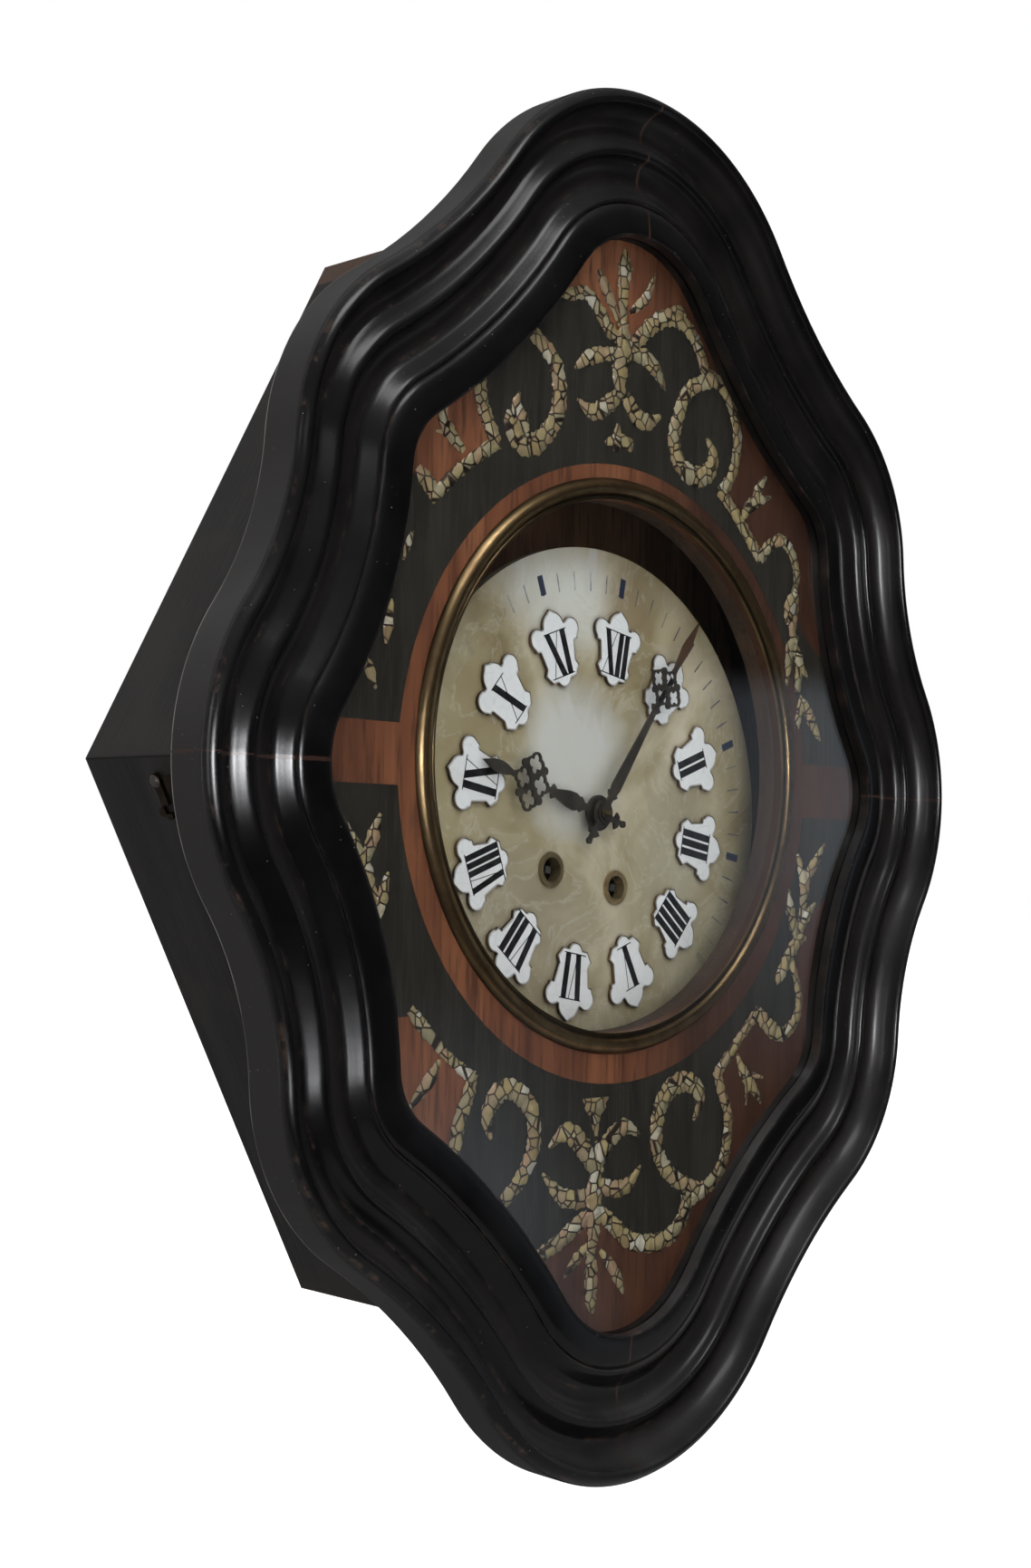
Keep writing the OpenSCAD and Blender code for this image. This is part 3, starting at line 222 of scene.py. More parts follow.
case_high, case_wide, case_top_wide = 463.4, 478.6, 234.4
top_corner, seam_reach = 0.222, 0.003
board_slope = math.degrees(math.atan2(case_high / 2, (case_wide - case_top_wide) / 2))
for slope, boards in (
    (0, ("case_top_board", "case_bottom_board")),
    (board_slope, ("case_upper_left_board", "case_lower_right_board")),
    (-board_slope, ("case_lower_left_board", "case_upper_right_board")),
):
    look, shader, place = finish("black case paint", specular_ior_level=0.28)
    grain = use(wood_grain, Vector=along(place, slope), Size=0.8)
    paint = steps(grain["Tone"], (0.3, (0.005, 0.0048, 0.0049)), (0.7, (0.0125, 0.011, 0.0102)))
    bare = use(worn_edges, Vector=place, Reach=0.0012)["Mask"]
    # The paint has come off the outside of the top corners.
    spot = split(place)
    corner = rise(times(maths("ABSOLUTE", spot["X"]), 8.0), 0.76, 0.86)
    corner = times(corner, maths("GREATER_THAN", spot["Z"], top_corner))
    # Where two boards meet at the side, a dark line shows instead.
    from_seam = maths("ABSOLUTE", spot["Z"])
    seam = fall(times(from_seam, 1000.0), 0.35, 0.7)
    bare = times(bare, maths("GREATER_THAN", from_seam, seam_reach))
    bare = maths("MAXIMUM", bare, times(corner, 0.75))
    stains = noise(place, 14, 7, Roughness=0.62)
    paint = blend(times(rise(stains, 0.48, 0.72), 0.7), paint, (0.02, 0.013, 0.0095))
    paint = blend(bare, paint, (0.06, 0.031, 0.018))
    paint = blend(seam, paint, (0.002, 0.0015, 0.001))
    paint = blend(use(dust, Vector=place, Amount=0.5)["Mask"], paint, (0.3, 0.28, 0.26))
    feed(shader, Base_Color=paint, Roughness=steps(grain["Tone"], (0.25, 0.42), (0.75, 0.6)))
    height = plus(grain["Tone"], times(grain["Pores"], 0.25))
    relief(shader, height, 0.0004, 0.6)
    dress(look, *boards)

# The back board, which closes the case behind, and the two battens that carry the movement: bare
# softwood, planed and never painted, browned with age
def upright_wood(place, size, share, pore, *tones):
    """The colour of wood with upright grain, its pores darkened by a share to a tone, and its pores."""
    grain = use(wood_grain, Vector=along(place, 90), Size=size)
    hollow = times(minus(1.0, grain["Pores"]), share)
    return blend(hollow, steps(grain["Tone"], *tones), pore), grain["Pores"]


for name, boards in (
    ("old bare wood", ["back_board"]), ("batten wood", ["left_seat_batten", "right_seat_batten"])
):
    look, shader, place = finish(name, roughness=0.75)
    wood, pores = upright_wood(
        place, 0.55, 0.6, (0.07, 0.035, 0.018),
        (0.28, (0.11, 0.045, 0.022)), (0.5, (0.19, 0.09, 0.045)), (0.72, (0.27, 0.15, 0.08))
    )
    feed(shader, Base_Color=wood)
    relief(shader, pores, 0.0002)
    dress(look, *boards)

# Ironwork: the hanging plate let into the back and the block that holds the gong, both forged, with a
# thin brown rust over a dark scale
look, shader, place = finish("old iron", metallic=0.75)
rust = noise(place, 140, 8, Roughness=0.7)
iron = steps(rust, (0.35, (0.07, 0.068, 0.07)), (0.52, (0.11, 0.085, 0.07)), (0.7, (0.2, 0.1, 0.055)))
feed(shader, Base_Color=iron, Roughness=steps(rust, (0.3, 0.42), (0.7, 0.8)))
relief(shader, rust, 0.0004)
dress(look, "hanging_plate", "gong_block")

# The gong: a flat coil of round steel wire, blued by heat, whose root is driven into a bore of its
# iron block
def steel(name, dark, light, rough, metallic=1.0):
    """Steel with stains from dark to light and the fine lines of a file or a buff."""
    look, shader, place = finish(name, metallic=metallic)
    stain = noise(place, 70, 6)
    lines = noise(place, 1300, 2)
    feed(shader, Base_Color=steps(stain, (0.35, dark), (0.65, light)))
    feed(shader, Roughness=steps(stain, (0.3, rough), (0.7, rough + 0.18)))
    relief(shader, lines, 0.00002, 0.5)
    return look


dress(steel("blued wire", (0.03, 0.035, 0.06), (0.07, 0.075, 0.11), 0.3), "gong_coil")

# Steel parts: screws, pins, arbors, clicks, the anchor, the hammer and the pendulum's rod, turned or
# filed, bright where they were worked and grey elsewhere
bright_steel = steel("filed steel", (0.32, 0.31, 0.3), (0.5, 0.5, 0.5), 0.26)
dress(
    bright_steel, "movement_screws", "hinge_pins", "going_winding_arbor", "strike_winding_arbor",
    "anchor_crutch", "going_click", "strike_click", "hammer", "pendulum_rod"
)

# Brass parts of the movement: sawn plates on turned pillars, cut wheels between them, the bob and the
# dial's plate, once polished and now yellow with brown tarnish
brass_age, given, result = group("brass ageing", "Tarnish", "Scratches")
clouds = noise(given["Vector"], 45, 8, Roughness=0.65)
fine = noise(given["Vector"], 900, 4)
feed(result, Tarnish=rise(clouds, 0.42, 0.68), Scratches=fine)


def brass(name, bright, brown, rough, amount):
    """Brass from bright to brown, tarnished by an amount."""
    look, shader, place = finish(name, metallic=1.0)
    age = use(brass_age, Vector=place)
    stain_and_shade_patches = times(age["Tarnish"], amount)
    feed(shader, Base_Color=blend(stain_and_shade_patches, bright, brown), Roughness=plus(times(stain_and_shade_patches, 0.25), rough))
    relief(shader, age["Scratches"], 0.00002, 0.6)
    return look


dress(
    brass("movement brass", (0.72, 0.52, 0.24), (0.3, 0.19, 0.08), 0.26, 0.7), "front_plate", "back_plate",
    "plate_pillars", "suspension_cock", "going_barrel", "intermediate_wheel", "centre_wheel", "third_wheel",
    "escape_wheel", "strike_barrel", "strike_second_wheel", "strike_third_wheel", "fly", "minute_wheel",
    "hour_wheel", "cannon_pinion", "pendulum_bob", "dial_plate"
)

# The dial: a disc of veined alabaster, cream and olive at the rim and grey white where light comes
# through its middle, with the minutes painted on it in blue
dial_x, dial_z, dial_turn = 0.008, -0.0147, math.radians(10)


def centred(place, x, z):
    """Object coordinates with their origin moved to x and z."""
    return add(place, "Mapping", {"Vector": place, "Location": (-x, 0, -z)}).outputs[0]


look, shader, place = finish(
    "alabaster", roughness=0.3, coat_weight=0.3, coat_roughness=0.12, subsurface_weight=0.15,
    subsurface_radius=(0.006, 0.005, 0.003),
)
# Seen from the front, with the hands' centre as origin and XII straight up
square = {"Vector": centred(place, dial_x, dial_z), "Rotation": (0, -dial_turn, 0)}
parts = split(add(shader, "Mapping", square).outputs[0])
out = maths("SQRT", plus(maths("POWER", parts["X"], 2.0), maths("POWER", parts["Z"], 2.0)))
angle = maths("ARCTAN2", parts["X"], parts["Z"])
warp = noise(place, 11, 6, Distortion=1.6)
veins = noise(place, 19, 9, Roughness=0.62, Distortion=2.4)
stone = steps(
    plus(times(warp, 0.75), times(veins, 0.25)), (0.34, (0.24, 0.18, 0.09)), (0.43, (0.35, 0.29, 0.165)),
    (0.51, (0.43, 0.375, 0.245)), (0.6, (0.58, 0.51, 0.37)), (0.7, (0.7, 0.66, 0.54))
)


def patch(across, high, wide, tall, soft=0.5):
    """1 in an uneven oval patch of the dial, in millimetres from its centre, fading out at its edge."""
    x = times(minus(parts["X"], 0.001 * across), 1000 / wide)
    z = times(minus(parts["Z"], 0.001 * high), 1000 / tall)
    span = plus(times(x, x), times(z, z))
    span = plus(span, times(minus(veins, 0.5), 1.2))
    return steps(span, (1.0 - soft, 1.0), (1.0, 0.0))


# Light shows through the stone left of and above the centre. A brown stain lies between XI and I, and the
# two darkest patches below the centre are painted shade. Each patch is (across, up, wide, tall, soft edge,
# share, tone).
stain_and_shade_patches = [
    (-18, 23, 40, 44, 0.75, 0.92, (0.64, 0.64, 0.61)),
    (-44, 98, 50, 30, 0.9, 0.88, (0.76, 0.77, 0.72)),
    (6, 99, 22, 32, 0.8, 0.75, (0.3, 0.22, 0.12)),
    (44, 84, 18, 44, 0.8, 0.7, (0.6, 0.51, 0.35)),
    (-94, -6, 24, 80, 0.9, 0.65, (0.4, 0.335, 0.19)),
    (30, -70, 12, 52, 0.9, 0.5, (0.55, 0.49, 0.37)),
    (64, -10, 30, 66, 0.9, 0.6, (0.4, 0.375, 0.275)),
    # Painted shade: these two darken the lower part of the dial.
    (-20, -104, 80, 34, 0.9, 0.5, (0.3, 0.25, 0.165)),
    (-32, -58, 62, 40, 0.9, 0.6, (0.31, 0.27, 0.195)),
]
for across, high, wide, tall, soft, share, tone in stain_and_shade_patches:
    stone = blend(times(patch(across, high, wide, tall, soft), share), stone, tone)
stone = blend(patch(-24, 114, 4.5, 15), stone, (0.68, 0.67, 0.62))
stone = blend(times(steps(veins, (0.488, 0.0), (0.503, 1.0), (0.525, 0.0)), 0.42), stone, (0.6, 0.56, 0.47))
edge = rise(times(out, 7.0), 0.8, 0.885)
stone = blend(times(edge, 0.35), stone, (0.2, 0.15, 0.09))
# Brown dirt has gathered round the plaques, and painted shade darkens the stone where they hide it from the
# room.
open_sky = add(shader, "AmbientOcclusion", {"Distance": 0.0028}, samples=8).outputs["AO"]
dirt_and_shade = times(fall(open_sky, 0.55, 0.95), 0.6)
stone = blend(dirt_and_shade, stone, (0.13, 0.085, 0.045))


def marks(count, half_width, inner, outer):
    """1 on radial dashes, count to the turn, between two radii."""
    at = times(angle, count / (2 * math.pi))
    off = maths("ABSOLUTE", minus(at, maths("ROUND", at)))
    off = times(off, 2 * math.pi / count, out)
    inside = maths("LESS_THAN", off, half_width)
    inside = times(inside, maths("GREATER_THAN", out, inner))
    return times(inside, maths("LESS_THAN", out, outer))


faded = steps(noise(place, 130, 3), (0.35, 0.35), (0.6, 1.0))
# At the left and below, the marks have worn off.
worn = steps(plus(times(parts["X"], 5.0), 0.5), (0.06, 0.12), (0.16, 1.0))
worn = times(worn, steps(plus(times(parts["Z"], 5.0), 0.5), (0.22, 0.15), (0.36, 1.0)))
faded = times(faded, worn)
stone = blend(times(marks(60, 0.0004, 0.1065, 0.1155), 0.92, faded), stone, (0.045, 0.065, 0.125))
stone = blend(times(marks(12, 0.0019, 0.107, 0.1165), 0.94, worn), stone, (0.012, 0.026, 0.075))
feed(shader, Base_Color=stone)
relief(shader, veins, 0.0004, 0.4)
dress(look, "dial")

# The twelve hour plaques: white enamel fired on copper, cut to a lobed shape with gilt rims, and set
# round the dial with their feet towards its centre
look, shader, place = finish("white enamel", roughness=0.16, coat_weight=0.4, coat_roughness=0.05)
plaque_front = min(v.co.y for v in nodes["hour_plaques"].data.vertices)
rim = rise(times(minus(split(place)["Y"], plaque_front), 1000.0), 0.15, 0.3)
# The gilding turns over onto the front as a narrow dark line, which also stands for painted shade along the
# plaque's edge.
line = fall(flat_share(shader, 0.0018, 8), 0.94, 0.99)
cracks = add(shader, "TexVoronoi", {"Vector": place, "Scale": 160}, feature="DISTANCE_TO_EDGE")
crazing = cracks.outputs["Distance"]
white = steps(crazing, (0.0, (0.72, 0.73, 0.74)), (0.03, (0.86, 0.87, 0.88)))
dirt = noise(place, 40, 5)
white = blend(times(rise(dirt, 0.5, 0.75), 0.25), white, (0.5, 0.48, 0.42))
gilt = steps(dirt, (0.4, (0.2, 0.12, 0.045)), (0.56, (0.055, 0.034, 0.018)))
white = blend(times(line, 0.95), white, (0.065, 0.043, 0.025))
feed(shader, Base_Color=blend(rim, white, gilt))
feed(shader, Metallic=times(rim, 0.4))
feed(shader, Roughness=steps(rim, (0.0, 0.16), (1.0, 0.38)))
relief(shader, crazing, 0.0001, 0.3)
dress(look, "hour_plaques")

# The numerals: thick and thin strokes and hairline serifs, painted in black on the plaques with their
# feet towards the centre
plaque_ring = 78.7
stroke_high, thick, thin, hair = 21.4, 3.6, 0.48, 0.28
letter_wide = {"I": 4.7, "V": 9.4, "X": 10.2}
plaque_clear, stroke_inset, serif_over = 18.6, 1.2, 0.6
paint_lift, paint_step = 0.00003, 0.00001
layers = {"thick": [], "thin": [], "serif": []}
for hour, numeral in enumerate("I II III IIII V VI VII VIII IX X XI XII".split(), 1):
    wide = sum(letter_wide[letter] for letter in numeral)
    squeeze = min(1.0, plaque_clear / wide)
    # The strokes: kind, across at the head, across at the foot, width
    drawn = []
    at = -wide / 2
    low, high = -stroke_high / 2, stroke_high / 2
    for letter in numeral:
        w = letter_wide[letter]
        left, middle, far = at + stroke_inset, at + w / 2, at + w - stroke_inset
        if letter == "I":
            drawn.append(("thick", middle, middle, thick))
        elif letter == "V":
            drawn.append(("thick", left + 0.6, middle, thick))
            drawn.append(("thin", far - 0.1, middle + 0.5, thin))
        else:
            drawn.append(("thick", left + 0.5, far - 0.5, thick))
            drawn.append(("thin", far - 0.1, left + 0.1, thin))
        at += w
    shapes = []
    for kind, a, b, t in drawn:
        shapes.append((kind, [(a - t / 2, high), (a + t / 2, high), (b + t / 2, low), (b - t / 2, low)]))
    half = wide / 2 + serif_over
    for level in (low, high):
        over, under = level + hair, level - hair
        shapes.append(("serif", [(-half, over), (half, over), (half, under), (-half, under)]))
    around = math.radians(30 * hour) + dial_turn
    for kind, corners in shapes:
        placed = []
        for x, z in corners:
            x, z = x * squeeze, z + plaque_ring
            right_by = x * math.cos(around) + z * math.sin(around)
            up_by = -x * math.sin(around) + z * math.cos(around)
            placed.append((dial_x + 0.001 * right_by, dial_z + 0.001 * up_by))
        layers[kind].append(placed)


def draw(name, lines, closed=True, **settings):
    """A flat curve of straight runs in metres, through (x, y) points or (x, y, width) points."""
    drawn = bpy.data.curves.new(name, "CURVE")
    drawn.dimensions = "2D"
    for key, value in settings.items():
        setattr(drawn, key, value)
    for line in lines:
        spline = drawn.splines.new("POLY")
        spline.points.add(len(line) - 1)
        for point, (x, y, *wide) in zip(spline.points, line):
            point.co = (x, y, 0, 1)
            point.radius = wide[0] if wide else 1
        spline.use_cyclic_u = closed
    piece = bpy.data.objects.new(name, drawn)
    scene.collection.objects.link(piece)
    return piece


def fill(name, outlines, y, thickness=0.00003):
    """Flat closed shapes in the plane of the dial, filled and made a mesh with its place in it."""
    piece = draw(name, outlines, fill_mode="BOTH", extrude=thickness / 2)
    return settle(piece, Matrix.Translation((0, y, 0)) @ Matrix.Rotation(math.pi / 2, 4, "X"))


def settle(piece, placing):
    """Makes a curve a mesh and moves the placing into the mesh."""
    bpy.ops.object.select_all(action="DESELECT")
    piece.select_set(True)
    bpy.context.view_layer.objects.active = piece
    bpy.ops.object.convert(target="MESH")
    piece.data.transform(placing)
    return piece


def join(name, pieces):
    """Makes one piece of several."""
    bpy.ops.object.select_all(action="DESELECT")
    for piece in pieces:
        piece.select_set(True)
    bpy.context.view_layer.objects.active = pieces[0]
    bpy.ops.object.join()
    pieces[0].name = name
    return pieces[0]


look, shader, place = finish("numeral black", roughness=0.3)
wear = noise(place, 300, 4)
feed(shader, Base_Color=steps(wear, (0.4, (0.006, 0.006, 0.008)), (0.75, (0.03, 0.03, 0.035))))
painted = []
for step, (kind, outlines) in enumerate(layers.items()):
    painted.append(fill("strokes_" + kind, outlines, plaque_front - paint_lift - paint_step * step))
numerals = join("hour_numerals", painted)
dress(look, numerals)
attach(numerals, "case")

# The escutcheons of the two winding holes: small turned brass rings, pressed into the stone, one of
# them gone dark
look, shader, place = finish("escutcheon brass", metallic=0.75, roughness=0.36)
age = use(brass_age, Vector=place)
dark = fall(times(minus(split(place)["X"], dial_x), 100.0), 0.0, 0.05)
metal = blend(age["Tarnish"], (0.66, 0.52, 0.28), (0.33, 0.23, 0.12))
feed(shader, Base_Color=blend(times(dark, 0.55), metal, (0.09, 0.065, 0.04)))
relief(shader, age["Scratches"], 0.00003)
dress(look, "winding_escutcheons")

# The hands: pierced and filed from steel sheet and blued, pushed on to their pipes and held by a small
# turned collet
look, shader, place = finish("blued hands", metallic=0.35, roughness=0.42)
stain = noise(place, 70, 6)
hand = steps(stain, (0.35, (0.045, 0.041, 0.037)), (0.65, (0.085, 0.072, 0.06)))
# The minute hand's tip has rusted.
reach = vectors("LENGTH", vectors("MULTIPLY", centred(place, dial_x, dial_z), (1, 0, 1)))
rusty = steps(times(reach, 8.0), (0.68, 0.0), (0.8, 0.75))
feed(shader, Base_Color=blend(rusty, hand, (0.14, 0.065, 0.035)))
relief(shader, stain, 0.0001, 0.5)
dress(look, "minute_hand", "hour_hand")
dress(steel("dark collet", (0.06, 0.05, 0.042), (0.12, 0.1, 0.08), 0.36, 0.6), "hand_collet")

# The moulded frame: four lengths of pearwood run with one section and stained and polished black, with
# butt joints at the middle of each lobe. Each length follows five arcs.
frame_high, frame_wide = 640.0, 510.0
lobe_top, lobe_side, shoulder = 122.5, 105.5, 96.0
cove_top, cove_side = 280.0, 140.0
shoulder_at = Vector((frame_wide / 2 - 137, frame_high / 2 - 197.5))
lobe_top_at = Vector((0, frame_high / 2 - lobe_top))
lobe_side_at = Vector((frame_wide / 2 - lobe_side, 0))


def meeting(first, a, second, b):
    """The upper meeting point of two circles, given by their centres and radii."""
    gap = second - first
    opening = math.acos((a * a + gap.length_squared - b * b) / (2 * a * gap.length))
    base = math.atan2(gap.y, gap.x) + opening
    return first + a * Vector((math.cos(base), math.sin(base)))


def heading(start, end):
    """The angle at which one point lies from another."""
    return math.atan2(end.y - start.y, end.x - start.x)


cove_top_at = meeting(lobe_top_at, lobe_top + cove_top, shoulder_at, shoulder + cove_top)
cove_side_at = meeting(shoulder_at, shoulder + cove_side, lobe_side_at, lobe_side + cove_side)
arcs = [
    (lobe_top_at, lobe_top, math.pi / 2, heading(lobe_top_at, cove_top_at), 22),
    (cove_top_at, cove_top, heading(cove_top_at, lobe_top_at), heading(cove_top_at, shoulder_at), 10),
    (shoulder_at, shoulder, heading(shoulder_at, cove_top_at), heading(shoulder_at, cove_side_at), 20),
    (cove_side_at, cove_side, heading(cove_side_at, shoulder_at), heading(cove_side_at, lobe_side_at), 14),
    (lobe_side_at, lobe_side, heading(lobe_side_at, cove_side_at), 0.0, 18),
]
run = []
for centre, radius, start, end, count in arcs:
    for i in range(count + 1):
        if run and i == 0:
            continue
        a = start + (end - start) * i / count
        run.append(centre + radius * Vector((math.cos(a), math.sin(a))))
# A straight start keeps each end square to its joint.
joint_gap, straight_start = 0.002, 2.5
run[0].x = joint_gap
run[-1].y = joint_gap
run.insert(1, Vector((straight_start, frame_high / 2)))
run.insert(-1, Vector((frame_wide / 2, straight_start)))
# The section, as distance in from the outer edge and depth behind the front edge; 1 keeps a sharp edge
section = [
    (0, 23, 1), (0, 6.4, 0), (0.4, 4.6, 0), (1.1, 3.1, 0), (2.2, 1.7, 0), (3.6, 0.6, 0), (5.0, 0.05, 0),
    (6.2, 0.4, 0), (7.1, 1.6, 0), (7.7, 4.2, 0), (8.9, 7.4, 0), (11.6, 11.2, 0), (15.0, 13.2, 0),
    (18.4, 13.3, 0), (20.6, 12.2, 0), (22.8, 10.4, 0), (25.0, 8.7, 0), (26.8, 8.0, 0), (28.1, 8.3, 0),
    (29.0, 9.6, 0), (29.8, 11.8, 0), (31.6, 13.8, 0), (35.5, 15.0, 0), (39.5, 15.0, 0), (42.4, 13.9, 0),
    (44.5, 12.2, 0), (46.3, 10.6, 0), (48.0, 9.2, 0), (49.3, 8.7, 0), (50.2, 9.3, 1), (50.6, 10.6, 1),
    (51.3, 9.3, 0), (54.0, 7.8, 0), (60.0, 7.0, 0), (64.2, 6.7, 0), (65.7, 7.0, 0), (66.0, 7.8, 0),
    (66.0, 12.25, 1), (59.5, 12.25, 1), (59.5, 23, 1),
]


def soften(points, count=4):
    """Points on a smooth line through the given ones, which keeps those marked 1 sharp."""
    smooth = []
    total = len(points)
    for i, (x, z, sharp) in enumerate(points):
        after = points[(i + 1) % total]
        first, second = Vector((x, z)), Vector(after[:2])
        before = first if sharp else Vector(points[i - 1][:2])
        beyond = second if after[2] else Vector(points[(i + 2) % total][:2])
        straight = sharp and after[2]
        for k in range(1 if straight else count):
            t = k / count
            slope_a, slope_b = (second - before) / 2, (beyond - first) / 2
            smooth.append(
                (2 * t**3 - 3 * t**2 + 1) * first
                + (t**3 - 2 * t**2 + t) * slope_a
                + (-2 * t**3 + 3 * t**2) * second
                + (t**3 - t**2) * slope_b
            )
    return smooth


def sweep(name, lines, profile):
    """Open lines swept with a profile's section."""
    return draw(name, lines, closed=False, bevel_mode="OBJECT", bevel_object=profile, use_fill_caps=True)


band_wide, band_deep, frame_front = 66.0, 23.0, 102
cut = [Vector((min(max(q.x, 0.0), band_wide), min(max(q.y, 0.0), band_deep))) for q in soften(section)]
profile = draw("moulding section", [[(0.001 * q.x, 0.001 * (frame_front - q.y)) for q in cut]])
middle_line = [(0.001 * q.x, 0.001 * q.y) for q in run]
length = sweep("frame_length", [middle_line], profile)


def clean(threshold, angle):
    """Closes the mesh's seams, turns it right side out and smooths it but for its sharp edges."""
    bpy.ops.object.mode_set(mode="EDIT")
    bpy.ops.mesh.select_all(action="SELECT")
    bpy.ops.mesh.remove_doubles(threshold=threshold)
    bpy.ops.mesh.normals_make_consistent(inside=False)
    bpy.ops.object.mode_set(mode="OBJECT")
    bpy.ops.object.shade_smooth_by_angle(angle=math.radians(angle))


settle(length, Matrix.Rotation(math.pi / 2, 4, "X"))
clean(0.000001, 38)
bpy.data.objects.remove(profile)
length.name = "frame_moulding_upper_right"
look, shader, place = finish("ebonised moulding", coat_roughness=0.16)
# Round the section, from the back of the outer edge over the front to the rabbet
round_it = split(add(shader, "UVMap", uv_map="UVMap").outputs[0])["Y"]


def section_place(inset):
    """The share of the way round the section at which its front lies inset from the outer edge."""
    front = [i for i, q in enumerate(cut) if q.x <= inset + 0.01 and i < len(cut) - 3]
    return max(front) / len(cut)


def along_section(*stops):
    """Stops for steps, each given by how far its place lies inset from the outer edge."""
    return [(section_place(inset), tone) for inset, tone in stops]


hollows = [
    (0.0, 0.2),
    *along_section(
        (2.0, 0.0), (6.0, 0.0), (9.0, 0.7), (17.5, 1.0), (19.3, 0.1), (28.0, 0.0), (30.5, 0.6), (39.0, 0.9),
        (41.5, 0.1), (48.0, 0.0), (50.2, 1.0), (52.5, 0.0), (63.0, 0.0), (65.9, 0.5)
    )
]
brown = times(steps(round_it, *hollows), 0.85)
mottle = noise(place, 32, 7, Roughness=0.6)
black = steps(mottle, (0.3, (0.0014, 0.0014, 0.0017)), (0.7, (0.0036, 0.0033, 0.0034)))
black = blend(times(brown, steps(mottle, (0.35, 0.25), (0.7, 1.0))), black, (0.0105, 0.007, 0.006))
# The outer edge is flat and only rubbed with stain: greyer and duller than the rest
band = steps(round_it, (0.0, 1.0), *along_section((0.3, 1.0), (1.2, 0.0)), (0.99, 0.0), (1.0, 1.0))
black = blend(times(band, 0.8), black, (0.0165, 0.0147, 0.0138))
feed(shader, Specular_IOR_Level=steps(band, (0.0, 0.36), (1.0, 0.26)))
feed(shader, Coat_Weight=steps(band, (0.0, 0.2), (1.0, 0.0)))
# The butt joints are filled with brown wax, unevenly.
spot = split(place)
joint = maths("MINIMUM", maths("ABSOLUTE", spot["X"]), maths("ABSOLUTE", spot["Z"]))
joint = plus(joint, times(minus(mottle, 0.5), 0.004))
joint = fall(times(joint, 1000.0), 0.5, 0.85)
crests = [
    (0.0, 0.0),
    *along_section(
        (0.5, 0.0), (2.0, 1.0), (3.2, 0.0), (18.2, 0.0), (19.2, 1.0), (20.4, 0.0), (40.0, 0.0), (40.9, 0.7),
        (42.0, 0.0), (49.2, 0.0), (51.0, 0.6), (52.2, 0.0), (65.0, 0.0), (65.8, 0.8)
    ),
    (1.0, 0.0)
]
scuffs = noise(place, 85, 8, Roughness=0.7)
rubbed = times(steps(round_it, *crests), rise(scuffs, 0.52, 0.68))
black = blend(times(rubbed, 0.55), black, (0.075, 0.045, 0.03))
# The arris at its back is rubbed to a thin pale line.
arris = fall(times(round_it, 100.0), 0.05, 0.1)
black = blend(times(arris, steps(mottle, (0.35, 0.2), (0.6, 1.0))), black, (0.16, 0.15, 0.14))
black = blend(use(dust, Vector=place, Amount=0.9)["Mask"], black, (0.42, 0.42, 0.42))
black = blend(times(joint, 0.85), black, (0.028, 0.0135, 0.009))
feed(shader, Base_Color=black)
gloss = blend(brown, steps(mottle, (0.3, 0.17), (0.72, 0.27)), (0.46, 0.46, 0.46))
feed(shader, Roughness=blend(band, gloss, (0.5, 0.5, 0.5)))
ripple = plus(noise(place, 14, 3), times(noise(place, 700, 3), 0.02))
relief(shader, plus(ripple, times(scuffs, 0.06)), 0.0012, 0.5)
dress(look, length)


def copy_of(piece, name, placing):
    """A copy with its own mesh, placed in the mesh, and turned right side out where it is mirrored."""
    twin = piece.copy()
    twin.data = piece.data.copy()
    twin.name = name
    scene.collection.objects.link(twin)
    twin.data.transform(placing)
    if placing.determinant() < 0:
        twin.data.flip_normals()
    return twin


mirrored = {"upper_left": (-1, 1), "lower_right": (1, -1), "lower_left": (-1, -1)}
lengths = {"upper_right": length}
for corner, (x, z) in mirrored.items():
    lengths[corner] = copy_of(length, "frame_moulding_" + corner, Matrix.Diagonal((x, 1, z, 1)))
for corner, piece in lengths.items():
    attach(piece, "door")
    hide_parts("frame_" + corner)

# The glass: a thin old pane with a faint green in its thickness, cut to the frame's lobed shape and laid
# in its rabbet, in front of the panel
look, shader, place = finish(
    "old glass", base_color=(0.97, 0.985, 0.975, 1), roughness=0.0, ior=1.5, transmission_weight=1.0
)
relief(shader, noise(place, 7, 5), 0.0006, 0.12)
# The light's rays pass straight through it, so that the dial behind is lit.
clear = add(shader, "BsdfTransparent", {"Color": (0.95, 0.96, 0.955, 1)}).outputs[0]
shadow_ray = add(shader, "LightPath").outputs["Is Shadow Ray"]
through = add(shader, "MixShader", {0: shadow_ray, 1: shader.outputs[0], 2: clear})
feed(look.node_tree.nodes["Material Output"], Surface=through.outputs[0])
dress(look, "glass")

# The inlaid panel, with its spacing fillet: reddish brown veneer, varnished, that shows as a ring round
# the opening, as a strip at each side and at the top and bottom
look, shader, place = finish("red brown veneer", roughness=0.5, specular_ior_level=0.3)
veneer, pores = upright_wood(
    place, 0.7, 0.5, (0.03, 0.012, 0.008),
    (0.28, (0.108, 0.034, 0.015)), (0.5, (0.19, 0.063, 0.025)), (0.74, (0.28, 0.105, 0.043))
)
